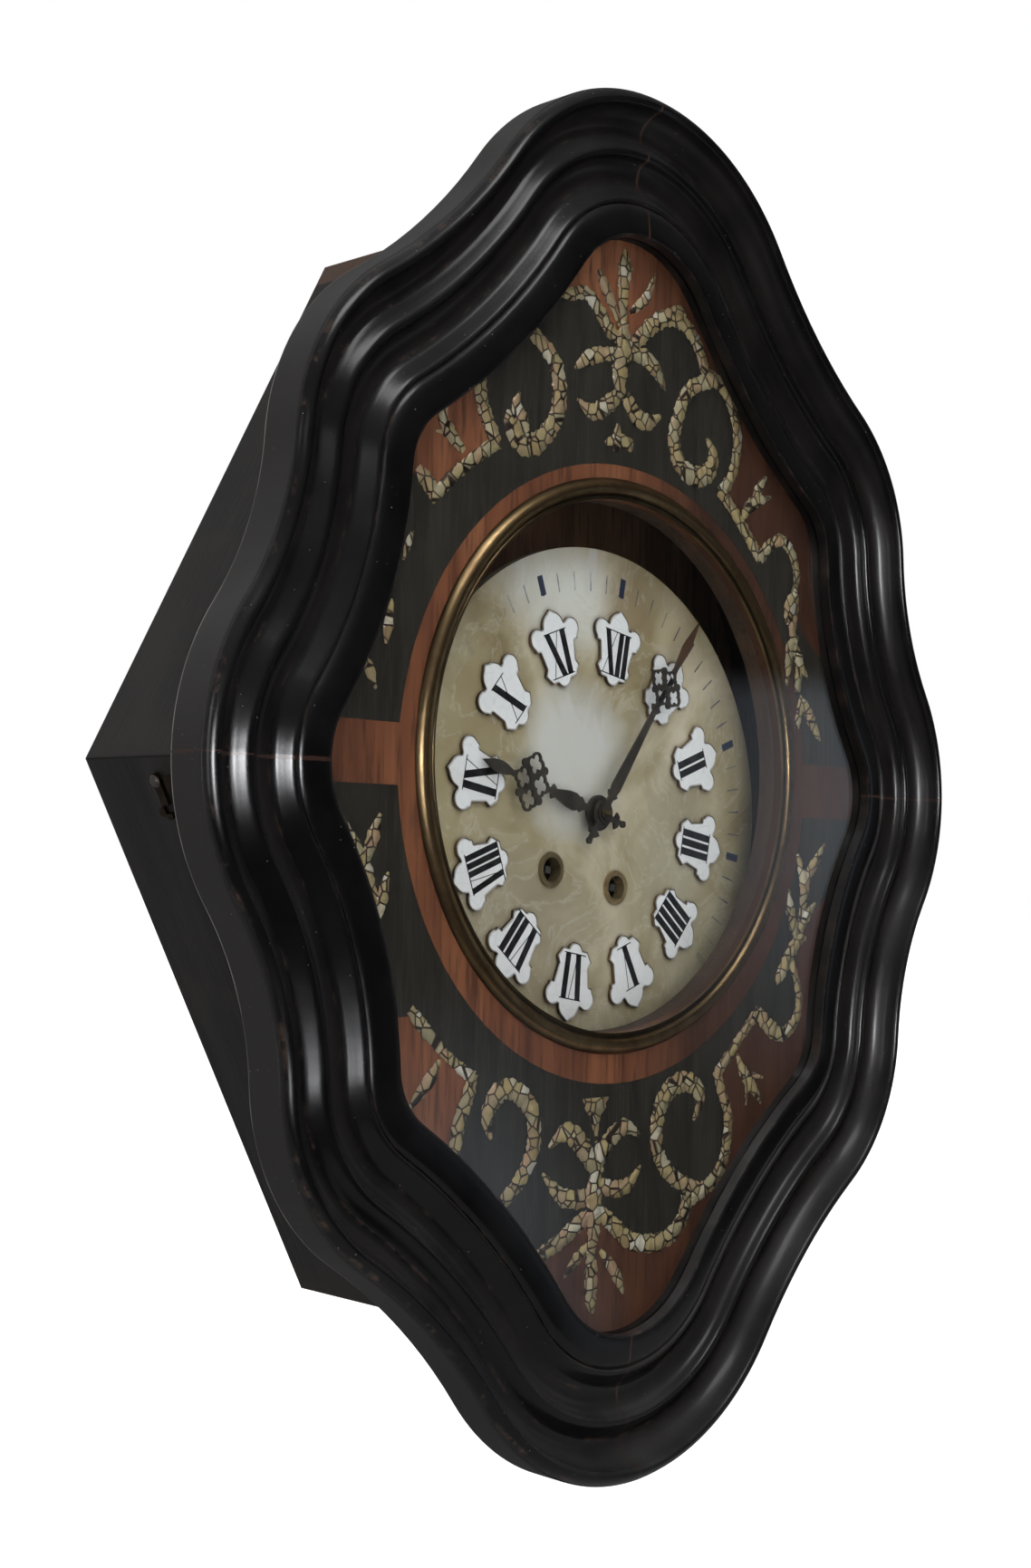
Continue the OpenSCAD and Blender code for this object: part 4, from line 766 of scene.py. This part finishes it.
# Painted shade darkens the veneer towards the right and the foot.
spot = split(place)
veneer_shade = rise(plus(times(spot["X"], 5.0), 0.5), 0.5, 0.78)
veneer_shade = maths("MAXIMUM", veneer_shade, steps(times(spot["Z"], -4.0), (0.72, 0.0), (0.84, 0.8)))
veneer = blend(times(veneer_shade, 0.8), veneer, (0.036, 0.0145, 0.009))
feed(shader, Base_Color=veneer)
relief(shader, pores, 0.0001, 0.5)
dress(look, "inlaid_panel")
look, shader, place = finish("fillet black", roughness=0.5)
rubbed = noise(place, 90, 6)
feed(shader, Base_Color=steps(rubbed, (0.4, (0.008, 0.007, 0.007)), (0.7, (0.022, 0.016, 0.013))))
relief(shader, rubbed, 0.0002)
dress(look, "glass_fillet")

# The black grounds of the marquetry, above and below the side strips: thin sawn veneer, stained black
# and glued on the panel
panel_y, ground_lift, ground_thick = -0.0836, 0.00008, 0.00012
opening_rise, ring_rise, ring_out = 7.0, 3.5, 144.0


def ring_arc(start, end, count=36):
    """Points on the inner border of the grounds, between two angles round it."""
    turns = [start + (end - start) * i / count for i in range(count + 1)]
    return [(ring_out * math.cos(a), ring_rise + ring_out * math.sin(a)) for a in turns]


def ring_angle(z):
    """The angle round the inner border at which its right side has the height z."""
    return math.asin((z - ring_rise) / ring_out)


upper_edge = [(-184, 18), (-171, 40), (-157, 70), (-147, 98), (-141, 122), (-134, 124), (-127, 114),
    (-119, 121), (-100, 136), (-89, 144), (-95, 155), (-100, 171), (-104, 176), (-82, 192), (-64, 209),
    (-52, 221), (-45, 220), (-32, 223), (-23, 216), (-16, 210), (-5, 205), (5, 209), (14, 217),
    (26, 224), (38, 223), (47, 218), (54, 211), (58, 203), (70, 199), (78, 191), (83, 178), (82, 163),
    (77, 153), (71, 146), (88, 132), (103, 118), (111, 125), (121, 129), (130, 123), (135, 113),
    (135, 100), (138, 86), (150, 76), (166, 66), (178, 40), (186, 15)]
lower_edge = [(186, -13), (178, -40), (166, -54), (150, -64), (144, -76), (139, -90), (142, -104),
    (140, -115), (131, -124), (119, -121), (107, -112), (88, -128), (74, -141), (83, -158), (84, -174),
    (78, -189), (63, -197), (52, -201), (48, -209), (36, -217), (20, -217), (5, -209), (-6, -201),
    (-16, -198), (-28, -203), (-40, -209), (-52, -213), (-56, -220), (-73, -204), (-94, -186),
    (-113, -168), (-106, -162), (-104, -149), (-97, -132), (-115, -119), (-131, -104), (-143, -104),
    (-150, -84), (-166, -55), (-179, -30), (-184, -8)]
grounds = []
for name, edge, start, end in (
    ("upper", upper_edge, ring_angle(15), math.pi - ring_angle(18)),
    ("lower", lower_edge, math.pi - ring_angle(-8), 2 * math.pi + ring_angle(-13)),
):
    outline = [(0.001 * x, 0.001 * z) for x, z in edge + ring_arc(start, end)]
    grounds.append(fill("black_ground_" + name, [outline], panel_y - ground_lift, ground_thick))
look, shader, place = finish("black ground veneer", roughness=0.5, specular_ior_level=0.3)
wood, pores = upright_wood(
    place, 0.9, 0.35, (0.06, 0.045, 0.03), (0.3, (0.016, 0.0145, 0.0115)), (0.72, (0.034, 0.03, 0.023))
)
feed(shader, Base_Color=wood)
relief(shader, pores, 0.00012, 0.6)
for ground in grounds:
    dress(look, ground)
    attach(ground, "door")

# The inlay: ribbons, leaves and scrolls of sawn mother-of-pearl, laid as small uneven tiles with dark
# glue between them. Each stroke is (across, up, half its width) along its middle line.
strokes = [
    # Top: wings, crescents, stem, trefoil and plume
    [(-4, 203, 2.5), (5, 209, 3.3), (14, 217, 3.6), (26, 224, 3.6), (38, 224, 3.4), (47, 219, 3.4),
        (53, 211, 3), (57, 202, 3)],
    [(-8, 205, 3), (-16, 210, 3.3), (-23, 217, 3.2), (-32, 223, 2.8), (-44, 220, 2.6), (-52, 220, 2)],
    [(29, 228, 1), (35, 230, 2), (41, 228, 1)],
    [(0, 202, 3), (12, 201, 3.8), (20, 196, 3.2), (26, 188, 0.5)],
    [(-12, 199, 2.6), (-24, 196, 3.2), (-32, 192, 3), (-39, 187, 0.5)],
    [(-3, 181, 3), (4, 173, 4), (13, 171, 3.6), (23, 176, 0.8)],
    [(-9, 180, 3), (-15, 175, 3.6), (-26, 169, 3.4), (-37, 173, 0.8)],
    [(-4, 216, 1.6), (-5, 208, 4), (-6, 198, 5), (-8, 188, 4.2), (-6, 178, 2)],
    [(-8, 167, 1), (-9, 158, 3.2), (-10, 153, 1)],
    [(-17, 156, 1), (-9, 159, 2.6), (0, 158, 2.8), (0, 155, 1)],
    [(-5, 212, 1.2), (-6, 222, 2.6), (-6, 232, 3.2), (-5, 242, 4), (-5, 250, 0.8)],
    [(-8, 213, 1), (-14, 222, 2.4), (-20, 230, 2.8), (-24, 236, 0.8)],
    [(-1, 221, 1), (6, 226, 2.2), (12, 232, 2.2), (17, 243, 0.6)],
    # Upper right scroll, border, sprig and the three-sided turn at its end
    [(62, 199, 2.6), (52, 197, 3.2), (42, 190, 3.4), (36, 178, 3.6), (33, 166, 3.9), (37, 156, 4.2),
        (46, 151, 4.4), (56, 152, 4.4), (63, 158, 3.8), (63, 166, 2.6), (58, 171, 0.8)],
    [
        (56, 203, 3.4), (70, 199, 3.2), (78, 191, 3.1), (83, 178, 3), (82, 165, 2.8), (78, 154, 2.8),
        (70, 146, 3)
    ],
    [(69, 147, 3), (79, 140, 2.8), (90, 130, 3), (104, 117, 3.2)],
    [(103, 117, 3.2), (110, 124, 2.8), (121, 129, 2.8), (130, 124, 2.6), (135, 114, 2.4), (134, 104, 2)],
    [(89, 136, 1.4), (93, 142, 3), (101, 146, 2.6), (112, 150, 0.6)],
    [(97, 146, 1.2), (102, 153, 2.6), (108, 160, 0.6)],
    # Right side, above the strip
    [(134, 103, 2.6), (129, 94, 4), (128, 86, 1.4)],
    [(135, 103, 2), (133, 92, 3), (132, 82, 2.4), (137, 78, 2)],
    [(134, 80, 1.5), (130, 74, 3), (129, 65, 2.4), (127, 53, 0.6)],
    [(133, 78, 1.5), (137, 71, 3), (141, 65, 2.2), (146, 60, 0.6)],
    [(137, 73, 1.2), (138, 62, 2.4), (137, 52, 2.2)],
    [(141, 50, 1), (139, 42, 2.4), (137, 33, 1.6)],
    [(139, 50, 1), (146, 43, 3), (152, 35, 2.8), (158, 28, 0.8)],
    # Right side, below the strip
    [(163, -26, 0.6), (157, -34, 2.4), (151, -40, 2.8), (147, -46, 1.6)],
    [(139, -32, 0.8), (143, -40, 2.8), (146, -50, 3.6), (144, -60, 2.4), (142, -70, 1.8)],
    [(132, -50, 0.6), (134, -62, 3.2), (138, -72, 2.6), (141, -79, 1.4)],
    [(156, -57, 0.6), (149, -63, 2.6), (142, -71, 2.2)],
    [(148, -75, 1), (140, -77, 3), (133, -84, 3.4), (127, -92, 3.4), (122, -98, 1.4)],
    [(135, -86, 2), (139, -96, 2.3), (142, -105, 2.4), (141, -114, 2.6), (135, -121, 3), (126, -124, 3.2),
        (117, -120, 3.8), (107, -112, 3)],
    [(108, -111, 3), (98, -119, 2.4), (88, -128, 2.4), (74, -141, 2.8)],
    [(74, -139, 2.8), (78, -150, 2.6), (83, -160, 2.8), (83, -173, 3), (80, -184, 3.2), (73, -192, 3.4),
        (62, -197, 3.4), (52, -200, 3.4)],
    [(90, -132, 0.8), (96, -142, 2.8), (103, -149, 2.8), (111, -158, 0.6)],
    [(102, -143, 1.6), (112, -145, 0.6)],
    [(99, -147, 1.6), (98, -158, 0.6)],
    # Lower right scroll, and the border along the bottom
    [(63, -196, 2.4), (50, -192, 3.3), (40, -187, 3.5), (31, -178, 3.6), (28, -166, 3.9), (31, -153, 4.2),
        (39, -145, 4.4), (49, -143, 4.4), (58, -146, 3.9), (61, -154, 2.8), (56, -162, 0.8)],
    [(52, -198, 4), (49, -208, 3.8), (38, -216, 3.8), (24, -217, 3.8), (10, -214, 3.6), (0, -207, 3.4),
        (-8, -201, 3.2), (-16, -195, 2.4)],
    # Bottom: fan, crescents, stem, plume and leaves
    [(-15, -176, 0.8), (-15, -164, 1), (-16, -156, 3), (-16, -149, 6.5), (-16, -146, 8)],
    [(-12, -182, 3), (-20, -173, 4), (-27, -165, 4.3), (-36, -160, 3.8), (-47, -166, 0.8)],
    [(-14, -178, 2.6), (-10, -170, 3.8), (-3, -164, 3.8), (6, -161, 3.2), (16, -166, 0.8)],
    [(-16, -190, 3.6), (-28, -191, 3.8), (-39, -188, 3.3), (-51, -177, 0.6)],
    [(-12, -186, 3), (-2, -189, 3.4), (8, -188, 3.2), (17, -180, 0.6)],
    [(-15, -176, 2), (-16, -186, 4.2), (-16, -198, 4.2), (-16, -210, 3.2), (-18, -218, 2.6)],
    [(-17, -216, 2.8), (-17, -228, 3.8), (-17, -238, 3.2), (-15, -244, 0.6)],
    [(-11, -216, 1), (-4, -223, 2.4), (2, -231, 2.4), (6, -238, 0.6)],
    [(-17, -212, 1.6), (-26, -217, 2.6), (-36, -225, 0.8)],
    [(-14, -197, 2.6), (-26, -202, 3.4), (-38, -208, 3.4), (-49, -212, 3), (-58, -214, 1)],
    # Upper left scroll and border
    [(-69, 198, 3), (-60, 193, 3.4), (-52, 186, 3.9), (-49, 174, 4), (-51, 162, 4), (-58, 153, 4),
        (-66, 147, 4.4), (-75, 147, 4.4), (-81, 154, 3.2), (-82, 160, 0.8)],
    [(-70, 152, 2), (-74, 158, 3.6), (-77, 163, 2.6), (-75, 169, 0.6)],
    [(-100, 171, 3.3), (-99, 162, 3.2), (-95, 153, 3.4), (-89, 144, 3.2)],
    [(-88, 145, 3), (-100, 137, 2.6), (-112, 128, 2.6), (-120, 121, 2.6), (-128, 113, 1.8)],
    [(-126, 117, 3), (-131, 121, 3.6), (-136, 126, 1.6)],
    [(-109, 137, 1.4), (-117, 143, 3), (-122, 150, 2.4), (-119, 157, 0.6)],
    [(-116, 144, 1.4), (-126, 143, 0.6)],
    # Left side
    [(-138, 99, 0.6), (-141, 92, 1.6), (-143, 86, 0.6)],
    [(-152, 50, 0.6), (-151, 58, 2.4), (-149, 69, 0.6)],
    [(-157, 31, 0.6), (-161, 39, 2.4), (-166, 46, 0.6)],
    [(-153, -20, 0.6), (-157, -30, 3), (-161, -40, 1.6)],
    [(-174, -23, 1.4), (-166, -33, 2), (-160, -42, 2.4), (-156, -52, 1.6), (-151, -62, 1)],
    [(-148, -44, 0.6), (-151, -54, 2.8), (-152, -63, 0.8)],
    # Lower left scroll and border
    [(-76, -187, 3), (-66, -179, 3.4), (-58, -167, 3.7), (-57, -155, 3.7), (-60, -147, 3.9), (-68, -140, 4),
        (-77, -138, 4), (-84, -143, 4.2), (-87, -151, 2.8), (-84, -159, 0.8)],
    [(-134, -101, 2), (-127, -108, 2.8), (-115, -119, 2), (-104, -127, 2.2), (-96, -132, 2.8)],
    [(-96, -130, 2.6), (-99, -140, 3.2), (-104, -150, 3.2), (-106, -160, 3.2), (-109, -167, 2)],
    [(-135, -144, 0.6), (-127, -136, 2.4), (-121, -130, 2.8), (-116, -123, 0.8)],
]
tile_half, tile_thick, tile_lift, tiles_per_metre = 0.001, 0.001 * 0.22 * 0.25, 0.00014, 172
corners = [(-tile_half, 0), (tile_half, 0), (tile_half, tile_thick), (-tile_half, tile_thick)]
tile_profile = draw("tile section", [corners])
ribbons = []
for number, stroke in enumerate(strokes):
    # A smooth line through the stroke's points, in steps of about 1.6 mm
    line = []
    for i in range(len(stroke) - 1):
        p0, p1, p2, p3 = (Vector(stroke[max(0, min(len(stroke) - 1, i + k))]) for k in (-1, 0, 1, 2))
        reach = max(2, round((p2 - p1).to_2d().length / 1.6))
        for k in range(reach + (i == len(stroke) - 2)):
            t = k / reach
            line.append(0.5 * (
                2 * p1 + (p2 - p0) * t + (2 * p0 - 5 * p1 + 4 * p2 - p3) * t * t
                + (3 * p1 - p0 - 3 * p2 + p3) * t**3
            ))
    ribbon = []
    for k, q in enumerate(line):
        uneven = 1 + 0.11 * math.sin(2.3 * k + 1.7 * number) + 0.07 * math.sin(5.1 * k + number)
        ribbon.append((0.001 * q.x, 0.001 * q.y, max(0.4, 1.14 * q.z * uneven)))
    ribbons.append(ribbon)
inlay = sweep("pearl_inlay", ribbons, tile_profile)
settle(inlay, Matrix.Translation((0, panel_y - tile_lift, 0)) @ Matrix.Rotation(math.pi / 2, 4, "X"))
bpy.data.objects.remove(tile_profile)
look, shader, place = finish(
    "mother-of-pearl", roughness=0.22, coat_weight=0.3, coat_roughness=0.1, thin_film_thickness=320,
    thin_film_ior=1.6,
)
flat = vectors("MULTIPLY", place, (1, 0, 1))
cells = {"Vector": flat, "Scale": tiles_per_metre}
tiles = add(shader, "TexVoronoi", cells).outputs["Color"]
gaps = add(shader, "TexVoronoi", cells, feature="DISTANCE_TO_EDGE").outputs["Distance"]
pick = add(shader, "SeparateColor", {"Color": tiles}).outputs
pearl = steps(
    pick[0], (0.0, (0.3, 0.22, 0.11)), (0.2, (0.43, 0.35, 0.17)), (0.42, (0.36, 0.31, 0.16)),
    (0.6, (0.42, 0.28, 0.17)), (0.76, (0.3, 0.28, 0.17)), (0.9, (0.52, 0.46, 0.3)), (1.0, (0.66, 0.64, 0.55))
)
cloud = noise(place, 210, 5, Distortion=1.0)
pearl = blend(times(cloud, 0.45), pearl, (0.23, 0.16, 0.08))
glue = fall(gaps, 0.045, 0.075)
feed(shader, Base_Color=blend(glue, pearl, (0.018, 0.012, 0.008)))
feed(shader, Roughness=blend(glue, steps(pick[1], (0.0, 0.14), (1.0, 0.4)), (0.6, 0.6, 0.6)))
tilt = vectors("SUBTRACT", tiles, (0.5, 0.5, 0.5))
tilt = vectors("SCALE", tilt, 0.22)
tilt = vectors("ADD", tilt, add(shader, "NewGeometry").outputs["Normal"])
tilt = vectors("NORMALIZE", tilt)
bump = add(shader, "Bump", {"Height": gaps, "Distance": 0.0004, "Strength": 0.3, "Normal": tilt})
feed(shader, Normal=bump.outputs[0])
dress(look, inlay)
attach(inlay, "door")

# The bezel: a ring turned from brass with a rounded crown and a groove inside it, seated on the panel
# round the opening, over a turned wooden ring
opening_r = 124.0
bezel_cut = [(0.0, 0.0), (0.0, 1.5), (0.5, 1.9), (1.3, 1.95), (1.7, 1.5), (2.2, 1.5), (2.7, 2.3), (3.5, 3.1),
    (4.6, 3.5), (5.8, 3.55), (7.0, 3.2), (8.2, 2.5), (9.1, 1.6), (9.7, 0.9), (10.0, 0.5), (10.0, 0.0)]
bpy.ops.mesh.primitive_plane_add()
bezel = bpy.context.object
bezel.name = "turned_bezel"
outline = [
    (0.001 * (opening_r + out), panel_y - 0.001 * high, 0.001 * opening_rise) for out, high in bezel_cut
]
bezel.data.clear_geometry()
bezel.data.from_pydata(outline, [(i, (i + 1) % len(outline)) for i in range(len(outline))], [])
bpy.ops.object.mode_set(mode="EDIT")
bpy.ops.mesh.select_all(action="SELECT")
bpy.ops.mesh.spin(steps=192, angle=2 * math.pi, center=(0, 0, 0.001 * opening_rise), axis=(0, 1, 0))
clean(0.000005, 50)
look, shader, place = finish("bezel brass", metallic=1.0)
age = use(brass_age, Vector=place)
reach = vectors("LENGTH", vectors("MULTIPLY", centred(place, 0, 0.001 * opening_rise), (1, 0, 1)))
from_edge = times(minus(reach, 0.001 * opening_r), 100.0)
inner_dirt = steps(from_edge, (0.1, 0.9), (0.22, 1.0), (0.34, 0.0))
outer_dirt = rise(from_edge, 0.8, 0.97)
dirt = maths("MAXIMUM", inner_dirt, outer_dirt)
metal = blend(times(age["Tarnish"], 0.8), (0.58, 0.4, 0.2), (0.27, 0.155, 0.085))
metal = blend(times(dirt, 0.8), metal, (0.05, 0.034, 0.02))
feed(shader, Base_Color=metal, Roughness=plus(0.28, times(age["Tarnish"], 0.14)))
relief(shader, age["Scratches"], 0.00002, 0.2)
dress(look, bezel)
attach(bezel, "door")
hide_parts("bezel")
look, shader, place = finish("turned ring wood", roughness=0.62)
grain = use(wood_grain, Vector=along(place, 90), Size=0.6)
wood = steps(grain["Tone"], (0.3, (0.035, 0.019, 0.012)), (0.7, (0.085, 0.045, 0.027)))
feed(shader, Base_Color=wood)
relief(shader, grain["Pores"], 0.0002)
dress(look, "opening_ring")

# The hinges, the catch and the hook: bent from sheet and rod brass, gone dark, and held to the door and
# to the case by steel screws
hinge_metal = brass("hinge brass", (0.2, 0.15, 0.08), (0.07, 0.05, 0.03), 0.42, 0.9)
dress(hinge_metal, "hinge_door_leaves", "hinge_case_leaves")
dress(
    brass("dark bronze", (0.05, 0.034, 0.02), (0.022, 0.015, 0.01), 0.45, 0.9), "latch_catch", "latch_hook"
)
dress(bright_steel, "hinge_door_screws")
dress(steel("dark screws", (0.05, 0.045, 0.04), (0.1, 0.085, 0.075), 0.45, 0.7), "case_screws")

# The studio: a pale floor under the clock, a white surround behind it, a bright window behind the
# viewer and two soft lights
floor_size = 24
bpy.ops.mesh.primitive_plane_add(size=floor_size)
floor = bpy.context.object
floor.name = "studio_floor"
floor.data.transform(Matrix.Translation((0, floor_size / 2 - 0.3, -0.37)))
look, shader, place = finish(
    "pale floor", roughness=0.9, specular_ior_level=0.1, emission_color=(1, 1, 1, 1)
)
way = add(shader, "LightPath").outputs
speckle = steps(noise(place, 3, 3), (0.3, (0.8, 0.8, 0.8)), (0.7, (0.82, 0.82, 0.82)))
speckle = blend(times(way["Is Glossy Ray"], 0.85), speckle, (0.04, 0.04, 0.04))
feed(shader, Base_Color=speckle)
feed(shader, Emission_Strength=times(way["Is Camera Ray"], 0.35))
dress(look, floor)

world = scene.world or bpy.data.worlds.new("studio")
scene.world = world
world.use_nodes = True
background = world.node_tree.nodes["Background"]
way = add(background, "LightPath").outputs
direction = split(add(background, "TexCoord").outputs["Generated"])
in_front = maths("LESS_THAN", direction["Y"], 0.0)
# From 0 at the left to 1 at the right, and from 0 at the foot to 1 overhead
sideways = times(plus(direction["X"], 1.0), 0.5)
low = times(plus(direction["Z"], 1.0), 0.5)
# Glossy surfaces see the surround behind the clock and a dim room in front, with a tall pale window at
# the right that the glass shows. The surround is darker at the right.
behind = steps(times(plus(direction["Y"], 1.0), 0.5), (0.45, 0.02), (0.8, 0.34))
behind = blend(steps(sideways, (0.6, 0.0), (0.78, 0.8)), behind, (0.01, 0.01, 0.01))
pane = times(
    steps(direction["X"], (0.76, 0.0), (0.84, 1.0), (0.86, 1.0), (0.9, 0.0)),
    fall(direction["Z"], 0.085, 0.1)
)
pane = times(pane, rise(low, 0.44, 0.5), in_front)
low_pane = times(
    steps(direction["X"], (0.62, 0.0), (0.67, 1.0), (0.71, 1.0), (0.75, 0.0)),
    fall(low, 0.42, 0.47)
)
pane = maths("MAXIMUM", pane, times(low_pane, 0.7, in_front))
behind = blend(pane, behind, (0.38, 0.43, 0.5))
# A bright window behind the viewer shows as the highlights on the moulding, and faintly on the bezel.
window = times(
    steps(sideways, (0.13, 0.0), (0.172, 0.25), (0.19, 1.0), (0.2, 1.0), (0.218, 0.25), (0.26, 0.0)),
    steps(low, (0.36, 0.0), (0.45, 0.35), (0.49, 1.0), (0.51, 1.0), (0.55, 0.35), (0.6, 0.0))
)
window = times(window, in_front)
window = times(window, times(way["Is Glossy Ray"], minus(1.0, times(way["Is Transmission Ray"], 0.6))))
behind = blend(window, behind, (75.0, 76.0, 78.0))
# What lights dull surfaces, through the glass too, is an even pale room.
lights = maths("GREATER_THAN", way["Diffuse Depth"], 0.5)
strength = blend(lights, behind, (1.4, 1.4, 1.43))
# The white surround shows to the camera, also straight through the glass.
straight = times(
    way["Is Transmission Ray"], maths("LESS_THAN", plus(way["Glossy Depth"], way["Diffuse Depth"]), 0.5)
)
strength = blend(maths("MAXIMUM", way["Is Camera Ray"], straight), strength, (1.0, 1.0, 1.0))
feed(background, Color=strength)


def soft_light(name, place, wide, high, power):
    """A square of light that looks at the middle of the clock."""
    bpy.ops.object.light_add(type="AREA", location=place)
    lamp = bpy.context.object
    lamp.name = name
    lamp.data.shape = "RECTANGLE"
    lamp.data.size, lamp.data.size_y, lamp.data.energy = wide, high, power
    lamp.rotation_euler = (-Vector(place)).to_track_quat("-Z", "Y").to_euler()


soft_light("side window", (-2.3, -0.9, 0.2), 0.4, 1.4, 4)
soft_light("top light", (-0.3, -1.3, 2.0), 1.0, 0.6, 9)
scene.view_settings.view_transform = "Standard"

# Brings the scene's placings up to date
bpy.context.view_layer.update()
